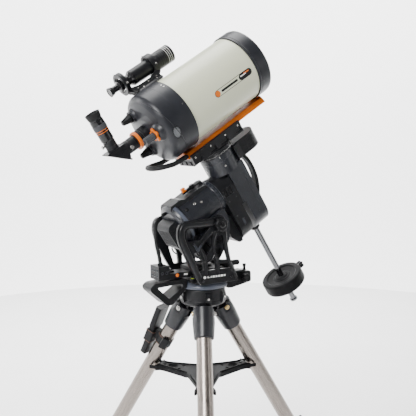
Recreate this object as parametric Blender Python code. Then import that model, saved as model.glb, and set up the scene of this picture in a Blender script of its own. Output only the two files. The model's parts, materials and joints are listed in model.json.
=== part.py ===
"""A Schmidt-Cassegrain telescope on a belt-driven German equatorial mount and a steel tripod.

Metres, +Z up. +X is the way the tube points, +Y is the side where the finder sits.
The origin is on the ground, in the middle of the footprint.

Three frames are used. HEAD stands on the tripod's axis, at the height where the leg axes
pass LEG_CIRCLE from it. POLAR sits where the right ascension axis (its X) crosses the
declination axis (its Z). OTA sits on the declination axis at the optical axis (its X).
"""
import math

import bmesh
import bpy
from mathutils import Matrix, Vector

for item in list(bpy.data.objects):
    bpy.data.objects.remove(item, do_unlink=True)

# --- driving dimensions -------------------------------------------------------------
GAP = 0.0004                      # running gap between pieces that touch
CENTRE_X = -0.03345               # puts the middle of the footprint on the origin
HEAD_Z = 0.6170                   # ground to the leg circle plane
LATITUDE = math.radians(32.06)    # tilt of the polar axis

LEG_TILT = math.radians(31.67)
LEG_AZIMUTHS = {"north": 0.0, "east": 120.0, "west": 240.0}
LEG_PIVOT_R = 0.0740
LEG_PIVOT_Z = 0.0016
LEG_TUBE_R = 0.0254               # 2-inch legs
LEG_WALL = 0.0018
LEG_BOTTOM = -0.7000              # end of the lower tube, along the leg
SLEEVE_R = 0.0365
SLEEVE_BOTTOM = -0.0840           # along the leg
LUG_HALF = 0.0146                 # half the width of the lug that a leg hangs on

HEAD_R = 0.0750
HEAD_BOTTOM = 0.0200
HEAD_TOP = 0.0800
ROD_R = 0.0072

TRAY_Z = -0.2160                  # top of the spreader tray
TRAY_THICK = 0.0100
TRAY_TIP_R = 0.1775

PLATE_IN = 0.0765                 # the mount's side plates
PLATE_OUT = 0.0885
ALT_PIVOT = (0.0100, 0.2950)      # x and z of the altitude axle in HEAD
ALT_AXLE_R = 0.0085

POLAR_X = 0.1135                  # crossing of the two axes in HEAD
POLAR_Z = 0.4227
OTA_HEIGHT = 0.3050               # optical axis over the crossing

TUBE_R = 0.1120                   # 8-inch aperture tube
TUBE_REAR = -0.0635
TUBE_FRONT = 0.2150
FRONT_R = 0.1164
FRONT_END = 0.2669
CELL_R = 0.1175
CELL_SHOULDER = -0.1520
CELL_BACK = -0.1810
KNOB_CIRCLE = 0.0700              # radius of the knobs on the back of the rear cell
POD_BACK = -0.1840
KNOB_PLACES = {                   # y and z of the knobs in OTA
    "focus": (-KNOB_CIRCLE, 0.0),
    "upper": (KNOB_CIRCLE * 0.5, KNOB_CIRCLE * math.sin(math.radians(60))),
    "lower": (KNOB_CIRCLE * 0.5, -KNOB_CIRCLE * math.sin(math.radians(60))),
}
SADDLE_KNOBS = (-0.0600, 0.0550)  # x of the saddle's clamp knobs in OTA
SADDLE_KNOB_Z = -0.1500
CLUTCH_X = -0.1350                # clutch lever in POLAR
AZIMUTH_SCREWS = (0.150, 0.095)   # x and z of the azimuth screws in HEAD
KNOB_SIDES = {"east": 1, "west": -1}
ADJUSTER_Z = 0.1440               # altitude screw in HEAD
ARM_HALF = 0.0580                 # half-width of the polar head
DEC_HALF = 0.0550                 # half-width of the declination housing
ARM_BOTTOM = -0.1850              # lower end of both, in POLAR
HANDLE_HALF = 0.0300              # half-width of the rear carry handle

SHAFT_R = 0.0100                  # counterweight shaft
SHAFT_END = -0.5150
WEIGHT_R = 0.0750
WEIGHT_TOP = -0.4070
WEIGHT_BOTTOM = -0.4520

FINDER_R = 0.1823                 # finder axis from the optical axis
FINDER_TURN = math.radians(-35.2)
EYEPIECE_U = -0.3010              # eyepiece axis along the tube

ROUND = 24                        # sides of large round pieces
SMALL_ROUND = 12                  # sides of small round pieces


# --- shapes -------------------------------------------------------------------------
def turned(profile, sides=ROUND):
    """A closed (radius, height) loop turned about Z. Points on the axis have radius 0."""
    shape = bmesh.new()
    rings = []
    for radius, height in profile:
        if radius == 0.0:
            rings.append([shape.verts.new((0.0, 0.0, height))])
            continue
        ring = []
        for step in range(sides):
            turn = 2.0 * math.pi * step / sides
            ring.append(shape.verts.new((radius * math.cos(turn), radius * math.sin(turn), height)))
        rings.append(ring)
    for lower, upper in zip(rings, rings[1:] + rings[:1]):
        if len(lower) == 1 and len(upper) == 1:
            continue
        for step in range(sides):
            ahead = (step + 1) % sides
            if len(lower) == 1:
                shape.faces.new((lower[0], upper[step], upper[ahead]))
            elif len(upper) == 1:
                shape.faces.new((lower[step], lower[ahead], upper[0]))
            else:
                shape.faces.new((lower[step], lower[ahead], upper[ahead], upper[step]))
    bmesh.ops.recalc_face_normals(shape, faces=shape.faces)
    return shape


def rod(radius, low, high, sides=SMALL_ROUND, chamfer=0.0):
    """A solid cylinder about Z with optional chamfered ends."""
    if chamfer:
        return turned([(0.0, low), (radius - chamfer, low), (radius, low + chamfer),
                       (radius, high - chamfer), (radius - chamfer, high), (0.0, high)], sides)
    return turned([(0.0, low), (radius, low), (radius, high), (0.0, high)], sides)


def ring(inner, outer, low, high, sides=ROUND):
    """A plain ring about Z."""
    return turned([(inner, low), (outer, low), (outer, high), (inner, high)], sides)


def slab(outline, low, high):
    """An (x, y) outline, given counter-clockwise, raised from z = low to z = high."""
    shape = bmesh.new()
    base = [shape.verts.new((x, y, low)) for x, y in outline]
    face = shape.faces.new(base)
    raised = bmesh.ops.extrude_face_region(shape, geom=[face])
    tops = [item for item in raised["geom"] if isinstance(item, bmesh.types.BMVert)]
    bmesh.ops.translate(shape, verts=tops, vec=(0.0, 0.0, high - low))
    bmesh.ops.recalc_face_normals(shape, faces=shape.faces)
    return shape


def box(x, y, z, bevel=0.0):
    """A box between pairs of limits, with optional chamfered edges."""
    shape = bmesh.new()
    bmesh.ops.create_cube(shape, size=1.0)
    for vert in shape.verts:
        vert.co = Vector(((x[0] + x[1]) / 2 + vert.co.x * (x[1] - x[0]),
                          (y[0] + y[1]) / 2 + vert.co.y * (y[1] - y[0]),
                          (z[0] + z[1]) / 2 + vert.co.z * (z[1] - z[0])))
    if bevel:
        bmesh.ops.bevel(shape, geom=shape.edges[:], offset=bevel, segments=1, affect="EDGES")
    return shape


def swept(points, radius, sides=12):
    """A round bar along points, with closed ends."""
    shape = bmesh.new()
    points = [Vector(point) for point in points]
    rings = []
    side = None
    for index, point in enumerate(points):
        ahead = points[min(index + 1, len(points) - 1)]
        behind = points[max(index - 1, 0)]
        along = (ahead - behind).normalized()
        if side is None:
            side = along.orthogonal().normalized()
        side = (side - along * side.dot(along)).normalized()
        across = along.cross(side)
        turns = [2.0 * math.pi * step / sides for step in range(sides)]
        rings.append([shape.verts.new(point + (side * math.cos(turn) + across * math.sin(turn)) * radius)
                      for turn in turns])
    for lower, upper in zip(rings, rings[1:]):
        for step in range(sides):
            ahead = (step + 1) % sides
            shape.faces.new((lower[step], lower[ahead], upper[ahead], upper[step]))
    shape.faces.new(rings[0][::-1])
    shape.faces.new(rings[-1])
    bmesh.ops.recalc_face_normals(shape, faces=shape.faces)
    return shape


def arc(radius, start, end, steps, centre=(0.0, 0.0)):
    """Points on an arc, in degrees, from start to end."""
    turns = [math.radians(start + (end - start) * step / steps) for step in range(steps + 1)]
    return [(centre[0] + radius * math.cos(turn), centre[1] + radius * math.sin(turn)) for turn in turns]


def moved(shape, matrix):
    """The same shape after a transform."""
    bmesh.ops.transform(shape, matrix=matrix, verts=shape.verts)
    return shape


def at(x, y, z):
    return Matrix.Translation((x, y, z))


def along_x(shape):
    """Turns a shape made about Z so that its +Z points along +X."""
    return moved(shape, Matrix.Rotation(math.radians(90), 4, "Y"))


def along_y(shape):
    """Turns a shape made about Z so that its +Z points along +Y."""
    return moved(shape, Matrix.Rotation(math.radians(-90), 4, "X"))


def side_slab(outline, low, high):
    """An (x, z) outline raised along Y from y = low to y = high."""
    return moved(slab(outline, -high, -low), Matrix.Rotation(math.radians(90), 4, "X"))


def cross_slab(outline, low, high):
    """A (y, z) outline raised along X from x = low to x = high."""
    turn = Matrix(((0, 0, 1, 0), (1, 0, 0, 0), (0, 1, 0, 0), (0, 0, 0, 1)))
    return moved(slab(outline, low, high), turn)


def to_mesh(name, shape):
    mesh = bpy.data.meshes.new(name)
    shape.to_mesh(mesh)
    shape.free()
    return mesh


def combined(base, added=(), removed=()):
    """Boolean unions and cuts of shapes, all in one frame, returned as a shape."""
    body = bpy.data.objects.new("body", to_mesh("body", base))
    bpy.context.collection.objects.link(body)
    tools = []
    steps = [("UNION", shape) for shape in added] + [("DIFFERENCE", shape) for shape in removed]
    for operation, shape in steps:
        tool = bpy.data.objects.new("tool", to_mesh("tool", shape))
        bpy.context.collection.objects.link(tool)
        tool.hide_render = True
        tool.display_type = "WIRE"
        change = body.modifiers.new(operation.lower(), "BOOLEAN")
        change.operation = operation
        change.object = tool
        tools.append(tool)
    bpy.context.view_layer.update()
    result = body.evaluated_get(bpy.context.evaluated_depsgraph_get()).to_mesh()
    shape = bmesh.new()
    shape.from_mesh(result)
    for item in tools + [body]:
        bpy.data.objects.remove(item, do_unlink=True)
    bmesh.ops.remove_doubles(shape, verts=shape.verts, dist=0.00001)
    bmesh.ops.dissolve_limit(shape, angle_limit=math.radians(0.3), verts=shape.verts, edges=shape.edges)
    bmesh.ops.triangulate(shape, faces=shape.faces)
    return shape


# --- materials ----------------------------------------------------------------------
def material(name, colour, roughness, metallic=0.0):
    made = bpy.data.materials.new(name)
    made.use_nodes = True
    shader = made.node_tree.nodes["Principled BSDF"]
    shader.inputs["Base Color"].default_value = (*colour, 1.0)
    shader.inputs["Roughness"].default_value = roughness
    shader.inputs["Metallic"].default_value = metallic
    return made


COATINGS = {
    "black_paint": ((0.016, 0.017, 0.020), 0.38, 0.3),
    "charcoal_paint": ((0.050, 0.053, 0.060), 0.45, 0.2),
    "ivory_paint": ((0.680, 0.690, 0.630), 0.30, 0.0),
    "orange_anodised": ((0.750, 0.180, 0.010), 0.35, 0.6),
    "steel": ((0.620, 0.600, 0.570), 0.28, 1.0),
    "chrome": ((0.850, 0.850, 0.860), 0.08, 1.0),
    "grey_plastic": ((0.120, 0.120, 0.125), 0.55, 0.0),
    "black_plastic": ((0.015, 0.015, 0.016), 0.45, 0.0),
    "black_rubber": ((0.012, 0.012, 0.012), 0.80, 0.0),
    "cast_iron": ((0.035, 0.037, 0.042), 0.60, 0.4),
    "glass": ((0.550, 0.650, 0.620), 0.03, 0.0),
    "mirror": ((0.900, 0.910, 0.920), 0.03, 1.0),
}

BODIES = {}


def body(name, matrix, parent=None):
    """An empty on the axis of a body's joint. matrix is its place in the world."""
    joint = bpy.data.objects.new(name + "_axis", None)
    bpy.context.collection.objects.link(joint)
    if parent:
        joint.parent = BODIES[parent][0]
        joint.matrix_local = BODIES[parent][1].inverted() @ matrix
    else:
        joint.matrix_local = matrix
    BODIES[name] = (joint, matrix)


def add(name, shape, coating, owner, frame=None):
    """A named piece on a body. shape is in frame, or in the body's own frame if none is given."""
    joint, joint_matrix = BODIES[owner]
    mesh = to_mesh(name, shape)
    if frame is not None:
        mesh.transform(joint_matrix.inverted() @ frame)
    mesh.shade_smooth()
    mesh.set_sharp_from_angle(angle=math.radians(32))
    piece = bpy.data.objects.new(name, mesh)
    bpy.context.collection.objects.link(piece)
    piece.parent = joint
    colour, roughness, metallic = COATINGS[coating]
    mesh.materials.append(material(name + "_finish", colour, roughness, metallic))
    return piece


HEAD = at(CENTRE_X, 0.0, HEAD_Z)
POLAR = HEAD @ at(POLAR_X, 0.0, POLAR_Z) @ Matrix.Rotation(-LATITUDE, 4, "Y")
OTA = POLAR @ at(0.0, 0.0, OTA_HEIGHT)
ALTITUDE = HEAD @ at(ALT_PIVOT[0], 0.0, ALT_PIVOT[1])
FINDER = OTA @ Matrix.Rotation(FINDER_TURN, 4, "X")


def leg_frame(azimuth):
    """Origin on the leg's pivot, -Z down the leg, +X to its outer side."""
    turn = Matrix.Rotation(math.radians(azimuth), 4, "Z")
    return HEAD @ turn @ at(LEG_PIVOT_R, 0.0, LEG_PIVOT_Z) @ Matrix.Rotation(-LEG_TILT, 4, "Y")


# --- tripod -------------------------------------------------------------------------
def tripod_head():
    """A drum with three lugs, each with its pivot bolt."""
    drum = turned([(ROD_R + 0.0006, HEAD_BOTTOM), (0.066, HEAD_BOTTOM), (HEAD_R, 0.028),
                   (HEAD_R, 0.077), (0.072, HEAD_TOP), (ROD_R + 0.0006, HEAD_TOP)])
    lug = [(0.0500, 0.0300), (0.0560, -0.0040)] + arc(0.0145, 200, 340, 8, (LEG_PIVOT_R, LEG_PIVOT_Z)) \
        + [(0.0885, 0.0100), (0.0700, 0.0300)]
    bolt = [(0.0, -0.0372), (0.0080, -0.0372), (0.0080, -0.0334), (0.0050, -0.0334), (0.0050, 0.0334),
            (0.0080, 0.0334), (0.0080, 0.0372), (0.0, 0.0372)]
    extras = []
    for azimuth in LEG_AZIMUTHS.values():
        turn = Matrix.Rotation(math.radians(azimuth), 4, "Z")
        extras.append(moved(side_slab(lug, -LUG_HALF, LUG_HALF), turn))
        place = turn @ at(LEG_PIVOT_R, 0.0, LEG_PIVOT_Z)
        extras.append(moved(along_y(turned(bolt, SMALL_ROUND)), place))
    add("tripod_head", combined(drum, extras), "black_paint", "tripod")


def spreader():
    """Centre rod, the tray that braces the legs, and the nut that clamps it."""
    add("centre_rod", rod(ROD_R, -0.3730, 0.0785, 20), "steel", "tripod")
    arm = [(0.100, -0.032), (0.196, -0.0345), (0.196, -0.0275), (TRAY_TIP_R, -0.0275),
           (TRAY_TIP_R, 0.0275), (0.196, 0.0275), (0.196, 0.0345), (0.100, 0.032)]
    outline = []
    for azimuth in LEG_AZIMUTHS.values():
        turn = Matrix.Rotation(math.radians(azimuth), 2)
        outline += [tuple(turn @ Vector(point)) for point in arm]
        outline.append(tuple(Matrix.Rotation(math.radians(azimuth + 60), 2) @ Vector((0.062, 0.0))))
    plate = slab(outline, TRAY_Z - TRAY_THICK, TRAY_Z)
    hub = turned([(0.0, TRAY_Z - 0.034), (0.020, TRAY_Z - 0.034), (0.048, TRAY_Z - 0.008),
                  (0.048, TRAY_Z - 0.002), (0.0, TRAY_Z - 0.002)])
    holes = [rod(ROD_R + 0.0006, TRAY_Z - 0.05, TRAY_Z + 0.01, 20)]
    for azimuth in LEG_AZIMUTHS.values():
        turn = Matrix.Rotation(math.radians(azimuth), 4, "Z")
        holes.append(moved(rod(0.0165, TRAY_Z - 0.03, TRAY_Z + 0.02), turn @ at(0.120, 0.0, 0.0)))
    add("spreader_tray", combined(plate, [hub], holes), "black_plastic", "spreader")
    knob = turned([(ROD_R + 0.0006, -0.0230), (0.0170, -0.0230), (0.0210, -0.0190), (0.0210, -0.0060),
                   (0.0120, 0.0), (ROD_R + 0.0006, 0.0)])
    add("spreader_nut", knob, "black_plastic", "spreader_nut")


def leg(name, azimuth):
    """Sleeve, upper tube, clamp, and the lower tube with its foot."""
    owner = "leg_" + name
    sleeve = turned([(0.0, 0.0160), (0.0350, 0.0160), (SLEEVE_R, 0.0145), (SLEEVE_R, -0.0330),
                     (0.0325, SLEEVE_BOTTOM + 0.0040), (0.0310, SLEEVE_BOTTOM),
                     (LEG_TUBE_R + GAP, SLEEVE_BOTTOM), (LEG_TUBE_R + GAP, -0.0450), (0.0, -0.0450)])
    top = box((-0.0600, 0.0200), (-0.0600, 0.0600), (0.0095, 0.0400))
    slot = box((-0.0600, 0.0180), (-LUG_HALF - GAP, LUG_HALF + GAP), (-0.0175, 0.0390))
    flats = [box((-0.0140, 0.0140), (low, low + 0.02), (-0.0140, 0.0400)) for low in (-0.0530, 0.0330)]
    bolt_hole = along_y(rod(0.0055, -0.05, 0.05))
    add("leg_sleeve_" + name, combined(sleeve, (), [top, slot, bolt_hole] + flats), "black_plastic", owner)
    tube = ring(LEG_TUBE_R - LEG_WALL, LEG_TUBE_R, -0.6000, -0.0460, 18)
    add("leg_tube_" + name, tube, "steel", owner)
    lower_r = LEG_TUBE_R - LEG_WALL - GAP
    collar = turned([(lower_r + GAP, -0.6160), (0.0310, -0.6160), (0.0325, -0.6130), (0.0325, -0.5810),
                     (0.0310, -0.5780), (LEG_TUBE_R + GAP, -0.5780), (LEG_TUBE_R + GAP, -0.6005),
                     (lower_r + GAP, -0.6005)], 18)
    screw = along_x(rod(0.0110, 0.0290, 0.0540, 16, 0.002))
    add("leg_clamp_" + name, combined(collar, [moved(screw, at(0, 0, -0.5970))]), "black_plastic", owner)
    foot_r = 0.0270
    foot_z = LEG_BOTTOM - 0.0020
    lower = turned([(lower_r - LEG_WALL, -0.2000), (lower_r, -0.2000), (lower_r, LEG_BOTTOM + 0.0300),
                    (foot_r, LEG_BOTTOM + 0.0280)]
                   + [(radius, foot_z + height) for radius, height in arc(foot_r, 0, -80, 4)]
                   + [(0.0, foot_z - foot_r), (0.0, LEG_BOTTOM + 0.0200),
                      (lower_r - LEG_WALL, LEG_BOTTOM + 0.0200)], 18)
    floor = moved(box((-2.0, 2.0), (-2.0, 2.0), (-1.0, 0.0)), leg_frame(azimuth).inverted())
    add("leg_lower_" + name, combined(lower, (), [floor]), "steel", "leg_extension_" + name)


def hand_control():
    """The hand control on the outside of one leg."""
    case = box((-0.0125, 0.0125), (-0.0320, 0.0320), (-0.0920, 0.0920), 0.004)
    lean = Matrix.Rotation(math.radians(8), 4, "Y")
    add("hand_control", moved(case, at(0.0530, 0.0, -0.1450) @ lean), "black_plastic", "leg_east")


# --- equatorial head ----------------------------------------------------------------
def azimuth_base():
    """Turntable, body, front bulkhead and the beam that carries the azimuth screws."""
    turntable = rod(0.0780, HEAD_TOP + 0.0005, 0.1020, ROUND, 0.002)
    deck = box((-0.0620, 0.0780), (-0.0760, 0.0760), (0.1000, 0.1250), 0.003)
    bulkhead = box((0.0560, 0.0775), (-0.0755, 0.0755), (0.1200, 0.1600), 0.004)
    beam = side_slab([(0.0700, 0.0920), (0.0790, 0.0850), (0.0790, 0.0620), (0.1000, 0.0620),
                      (0.1820, 0.0760), (0.1820, 0.1080), (0.1750, 0.1150), (0.0700, 0.1150)],
                     -0.0220, 0.0220)
    stud = moved(rod(0.0045, 0.1100, 0.1260, 16), at(0.1690, 0.0, 0.0))
    shelf = box((-0.1440, -0.0600), (-0.0280, 0.0280), (0.1215, 0.1390), 0.002)
    tower = box((-0.1880, -0.1420), (-0.0300, 0.0300), (0.1205, 0.1650), 0.004)
    adjuster_hole = along_x(rod(0.0065, 0.04, 0.09, 16))
    holes = [moved(adjuster_hole, at(0, 0, ADJUSTER_Z))]
    holes += [moved(along_y(rod(0.0055, low, low + 0.02, 16)), at(AZIMUTH_SCREWS[0], 0.0, AZIMUTH_SCREWS[1]))
              for low in (0.010, -0.030)]
    base = combined(turntable, [deck, bulkhead, beam, stud], holes)
    add("azimuth_base", base, "black_paint", "azimuth")
    add("port_box", combined(tower, [shelf], [box((-0.0625, 0.0), (-0.1, 0.1), (0.0, 0.2))]),
        "black_plastic", "azimuth")


def side_plate(name, side):
    """One cheek of the fork, with the truss windows between its two arms."""
    outline = [(-0.0600, 0.1030), (0.0840, 0.1030), (0.0720, 0.1400), (0.0560, 0.1680), (0.0440, 0.2200),
               (0.0380, 0.2750)] + arc(0.0270, 0, 90, 5, ALT_PIVOT) + [
               (-0.0150, 0.3160), (-0.1160, 0.3120), (-0.1330, 0.3060), (-0.1420, 0.2920), (-0.1450, 0.2680),
               (-0.1360, 0.2340), (-0.0980, 0.1640), (-0.0740, 0.1240)]
    windows = [[(-0.1020, 0.2880), (-0.1100, 0.2820), (-0.1130, 0.2660), (-0.1060, 0.2460), (-0.0980, 0.2460),
                (-0.0800, 0.2480), (-0.0620, 0.2500), (-0.0240, 0.2880)],
               [(-0.0430, 0.2410), (-0.0560, 0.2240), (-0.0360, 0.1960), (-0.0180, 0.2220), (-0.0130, 0.2640)],
               [(0.0010, 0.2580), (-0.0040, 0.2180), (0.0100, 0.1780), (0.0440, 0.1760), (0.0300, 0.2180),
                (0.0240, 0.2600)],
               [(-0.0860, 0.2080), (-0.0660, 0.1480), (-0.0480, 0.1480), (-0.0520, 0.1860), (-0.0700, 0.2120)],
               [(-0.0340, 0.1480), (0.0000, 0.1480), (-0.0020, 0.1700), (-0.0180, 0.1880), (-0.0340, 0.1760)],
               [(0.0120, 0.1480), (0.0560, 0.1480), (0.0500, 0.1640), (0.0120, 0.1660)]]
    low, high = (PLATE_IN, PLATE_OUT) if side > 0 else (-PLATE_OUT, -PLATE_IN)
    cuts = [side_slab(window, low - 0.01, high + 0.01) for window in windows]
    axle_hole = along_y(rod(ALT_AXLE_R + GAP, -0.2, 0.2))
    cuts.append(moved(axle_hole, at(ALT_PIVOT[0], 0.0, ALT_PIVOT[1])))
    plate = combined(side_slab(outline, low, high), (), cuts)
    add("side_plate_" + name, plate, "black_paint", "azimuth")


def base_fittings():
    """The knobs that set azimuth and altitude, the altitude axle, and the rear carry handle."""
    axle = turned([(0.0, -0.1060), (0.0150, -0.1060), (0.0180, -0.1030), (0.0180, -0.0890),
                   (ALT_AXLE_R, -0.0890), (ALT_AXLE_R, 0.0890), (0.0180, 0.0890), (0.0180, 0.1030),
                   (0.0150, 0.1060), (0.0, 0.1060)])
    add("altitude_axle", moved(along_y(axle), at(ALT_PIVOT[0], 0, ALT_PIVOT[1])), "black_paint", "azimuth")
    adjuster = turned([(0.0, 0.0480), (0.0060, 0.0480), (0.0060, 0.1020), (0.0095, 0.1050),
                       (0.0095, 0.1420), (0.0070, 0.1450), (0.0, 0.1450)], SMALL_ROUND)
    add("altitude_adjuster", along_x(adjuster), "black_plastic", "altitude_adjuster")
    for name, side in KNOB_SIDES.items():
        screw = [(0.0, side * 0.0140), (0.0050, side * 0.0140), (0.0050, side * 0.0260),
                 (0.0130, side * 0.0280), (0.0150, side * 0.0310), (0.0150, side * 0.0460),
                 (0.0120, side * 0.0490), (0.0, side * 0.0490)]
        add("azimuth_knob_" + name, along_y(turned(screw, 12)), "black_plastic", "azimuth_knob_" + name)
    outer = [(-0.0785, 0.0860), (-0.0785, 0.1180), (-0.1980, 0.1120), (-0.2110, 0.1000), (-0.2080, 0.0880),
             (-0.1500, 0.0360), (-0.1320, 0.0360)]
    inner = [(-0.0940, 0.0900), (-0.0940, 0.1030), (-0.1860, 0.0980), (-0.1440, 0.0580)]
    grip = side_slab(inner[::-1], -0.1, 0.1)
    handle = combined(side_slab(outer[::-1], -HANDLE_HALF, HANDLE_HALF), (), [grip])
    add("rear_carry_handle", handle, "black_plastic", "azimuth")


def ra_pieces():
    """The polar housing with its rear cover and clutch lever, and the shaft that turns in it."""
    housing = along_x(turned([(0.0580, -0.0820), (0.0600, -0.0860), (0.0655, -0.2300), (0.0740, -0.2340),
                              (0.0740, -0.2480), (0.0600, -0.2620), (0.0, -0.2620), (0.0, -0.2320),
                              (0.0400, -0.2320), (0.0400, -0.0820)]))
    axle_hole = along_y(rod(ALT_AXLE_R + GAP, -0.2, 0.2))
    pivot = POLAR.inverted() @ ALTITUDE.translation
    lug = moved(along_y(rod(0.0200, -0.0755, 0.0755)), at(*pivot))
    room = along_x(rod(0.0400, -0.2320, -0.0400, ROUND))
    housing = combined(housing, [lug], [room, moved(axle_hole, at(*pivot))])
    add("ra_housing", housing, "black_paint", "altitude", POLAR)
    cover = box((-0.3000, -0.2625), (-0.0400, 0.0400), (-0.0700, 0.0300), 0.006)
    add("ra_rear_cover", cover, "grey_plastic", "altitude", POLAR)
    lever = combined(rod(0.0090, 0.0670, 0.0800, 20, 0.001),
                     [moved(along_x(rod(0.0050, -0.0550, 0.0, 12, 0.001)), at(0, 0, 0.0735)),
                      moved(along_x(rod(0.0070, -0.0620, -0.0450, 12, 0.002)), at(0, 0, 0.0735))])
    add("ra_clutch_lever", lever, "orange_anodised", "ra_clutch")
    shaft = turned([(0.0, -0.2280), (0.0180, -0.2280), (0.0180, -0.1180), (0.0385, -0.1150),
                    (0.0385, -0.0990), (0.0180, -0.0960), (0.0180, -0.0560), (0.0, -0.0560)])
    add("ra_shaft", along_x(shaft), "steel", "ra")
    outline = arc(ARM_HALF, 0, 180, 16) + arc(ARM_HALF, 180, 360, 16, (0.0, ARM_BOTTOM + ARM_HALF))
    head = cross_slab(outline, -0.0815, -0.0220)
    motor = box((-0.1150, -0.0780), (-0.0360, 0.0360), (-0.1820, -0.0780), 0.006)
    head = combined(head, [motor], [along_x(rod(0.0184, -0.1, -0.0550, ROUND))])
    add("ra_head", head, "black_paint", "ra")


def dec_pieces():
    """The declination housing with its motor cover and handle, and the counterweight shaft."""
    outline = [(DEC_HALF, 0.0600), (-DEC_HALF, 0.0600)]
    outline += arc(DEC_HALF, 180, 360, 16, (0.0, ARM_BOTTOM + DEC_HALF))
    block = cross_slab(outline, -0.0215, 0.0480)
    barrel = rod(0.0600, 0.0585, 0.1180, ROUND, 0.002)
    room = rod(0.0385, 0.0600, 0.2, ROUND)
    shaft_hole = rod(0.0165, -0.0250, 0.0700, ROUND)
    socket = rod(SHAFT_R + GAP, -0.2, -0.1450)
    add("dec_housing", combined(block, [barrel], [room, shaft_hole, socket]), "black_paint", "ra")
    cover = slab([(0.0200, -0.0450), (0.1350, -0.0450)] + arc(0.0300, -60, 60, 6, (0.1330, 0.0))
                 + [(0.1350, 0.0450), (0.0200, 0.0450)], 0.0605, 0.1175)
    cover = combined(cover, (), [rod(0.0604, 0.0, 0.2, ROUND)])
    add("dec_motor_cover", cover, "black_plastic", "ra")
    bar = [(0.0485, -0.1200), (0.0830, -0.0820), (0.0970, -0.0420), (0.1020, 0.0000), (0.0990, 0.0320),
           (0.0870, 0.0596), (0.0760, 0.0596), (0.0900, 0.0280), (0.0930, 0.0000), (0.0880, -0.0390),
           (0.0750, -0.0760), (0.0485, -0.1050)]
    add("dec_carry_handle", side_slab(bar, -0.0125, 0.0125), "black_plastic", "ra")
    shaft = turned([(0.0, -0.5230), (0.0120, -0.5230), (0.0140, -0.5210), (0.0140, SHAFT_END),
                    (SHAFT_R, SHAFT_END), (SHAFT_R, -0.1460), (0.0, -0.1460)], SMALL_ROUND)
    add("counterweight_shaft", shaft, "chrome", "ra")
    weight = turned([(SHAFT_R + GAP, WEIGHT_BOTTOM), (0.0700, WEIGHT_BOTTOM), (WEIGHT_R, -0.4470),
                     (WEIGHT_R, -0.4120), (0.0700, WEIGHT_TOP), (0.0520, WEIGHT_TOP), (0.0480, -0.4120),
                     (0.0240, -0.4120), (0.0220, WEIGHT_TOP), (SHAFT_R + GAP, WEIGHT_TOP)])
    middle = (WEIGHT_TOP + WEIGHT_BOTTOM) / 2
    stem_hole = moved(along_x(rod(0.0052, 0.0400, 0.1, 16)), at(0, 0, middle))
    add("counterweight", combined(weight, (), [stem_hole]), "cast_iron", "counterweight")
    knob = turned([(0.0, 0.0450), (0.0046, 0.0450), (0.0046, 0.0760), (0.0110, 0.0770),
                   (0.0130, 0.0800), (0.0130, 0.0960), (0.0100, 0.0990), (0.0, 0.0990)], 12)
    add("counterweight_knob", along_x(knob), "black_plastic", "counterweight_knob")


def dec_axis_pieces():
    """The declination shaft with its setting circle, the saddle and its clamp knobs."""
    shaft = turned([(0.0, -0.0200), (0.0160, -0.0200), (0.0160, 0.0720), (0.0370, 0.0740),
                    (0.0370, 0.0890), (0.0160, 0.0910), (0.0160, 0.1184), (0.0600, 0.1184),
                    (0.0625, 0.1205), (0.0625, 0.1350), (0.0610, 0.1366), (0.0, 0.1366)])
    add("dec_shaft", shaft, "black_paint", "dec")
    channel = [(-0.0560, -0.1680), (0.0560, -0.1680), (0.0580, -0.1660), (0.0580, -0.1280), (0.0474, -0.1280),
               (0.0512, -0.1366), (-0.0512, -0.1366), (-0.0474, -0.1280), (-0.0580, -0.1280),
               (-0.0580, -0.1660)]
    saddle = cross_slab(channel, -0.1120, 0.1030)
    holes = [moved(along_y(rod(0.0055, 0.0400, 0.1, 16)), at(place, 0.0, SADDLE_KNOB_Z))
             for place in SADDLE_KNOBS]
    add("saddle", combined(saddle, (), holes), "black_paint", "dec", OTA)
    knob = [(0.0, 0.0420), (0.0050, 0.0420), (0.0050, 0.0590), (0.0130, 0.0600), (0.0150, 0.0630),
            (0.0150, 0.0790), (0.0120, 0.0820), (0.0, 0.0820)]
    for index in range(len(SADDLE_KNOBS)):
        name = "saddle_knob_%d" % (index + 1)
        add(name, along_y(turned(knob, 12)), "black_plastic", name)


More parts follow.
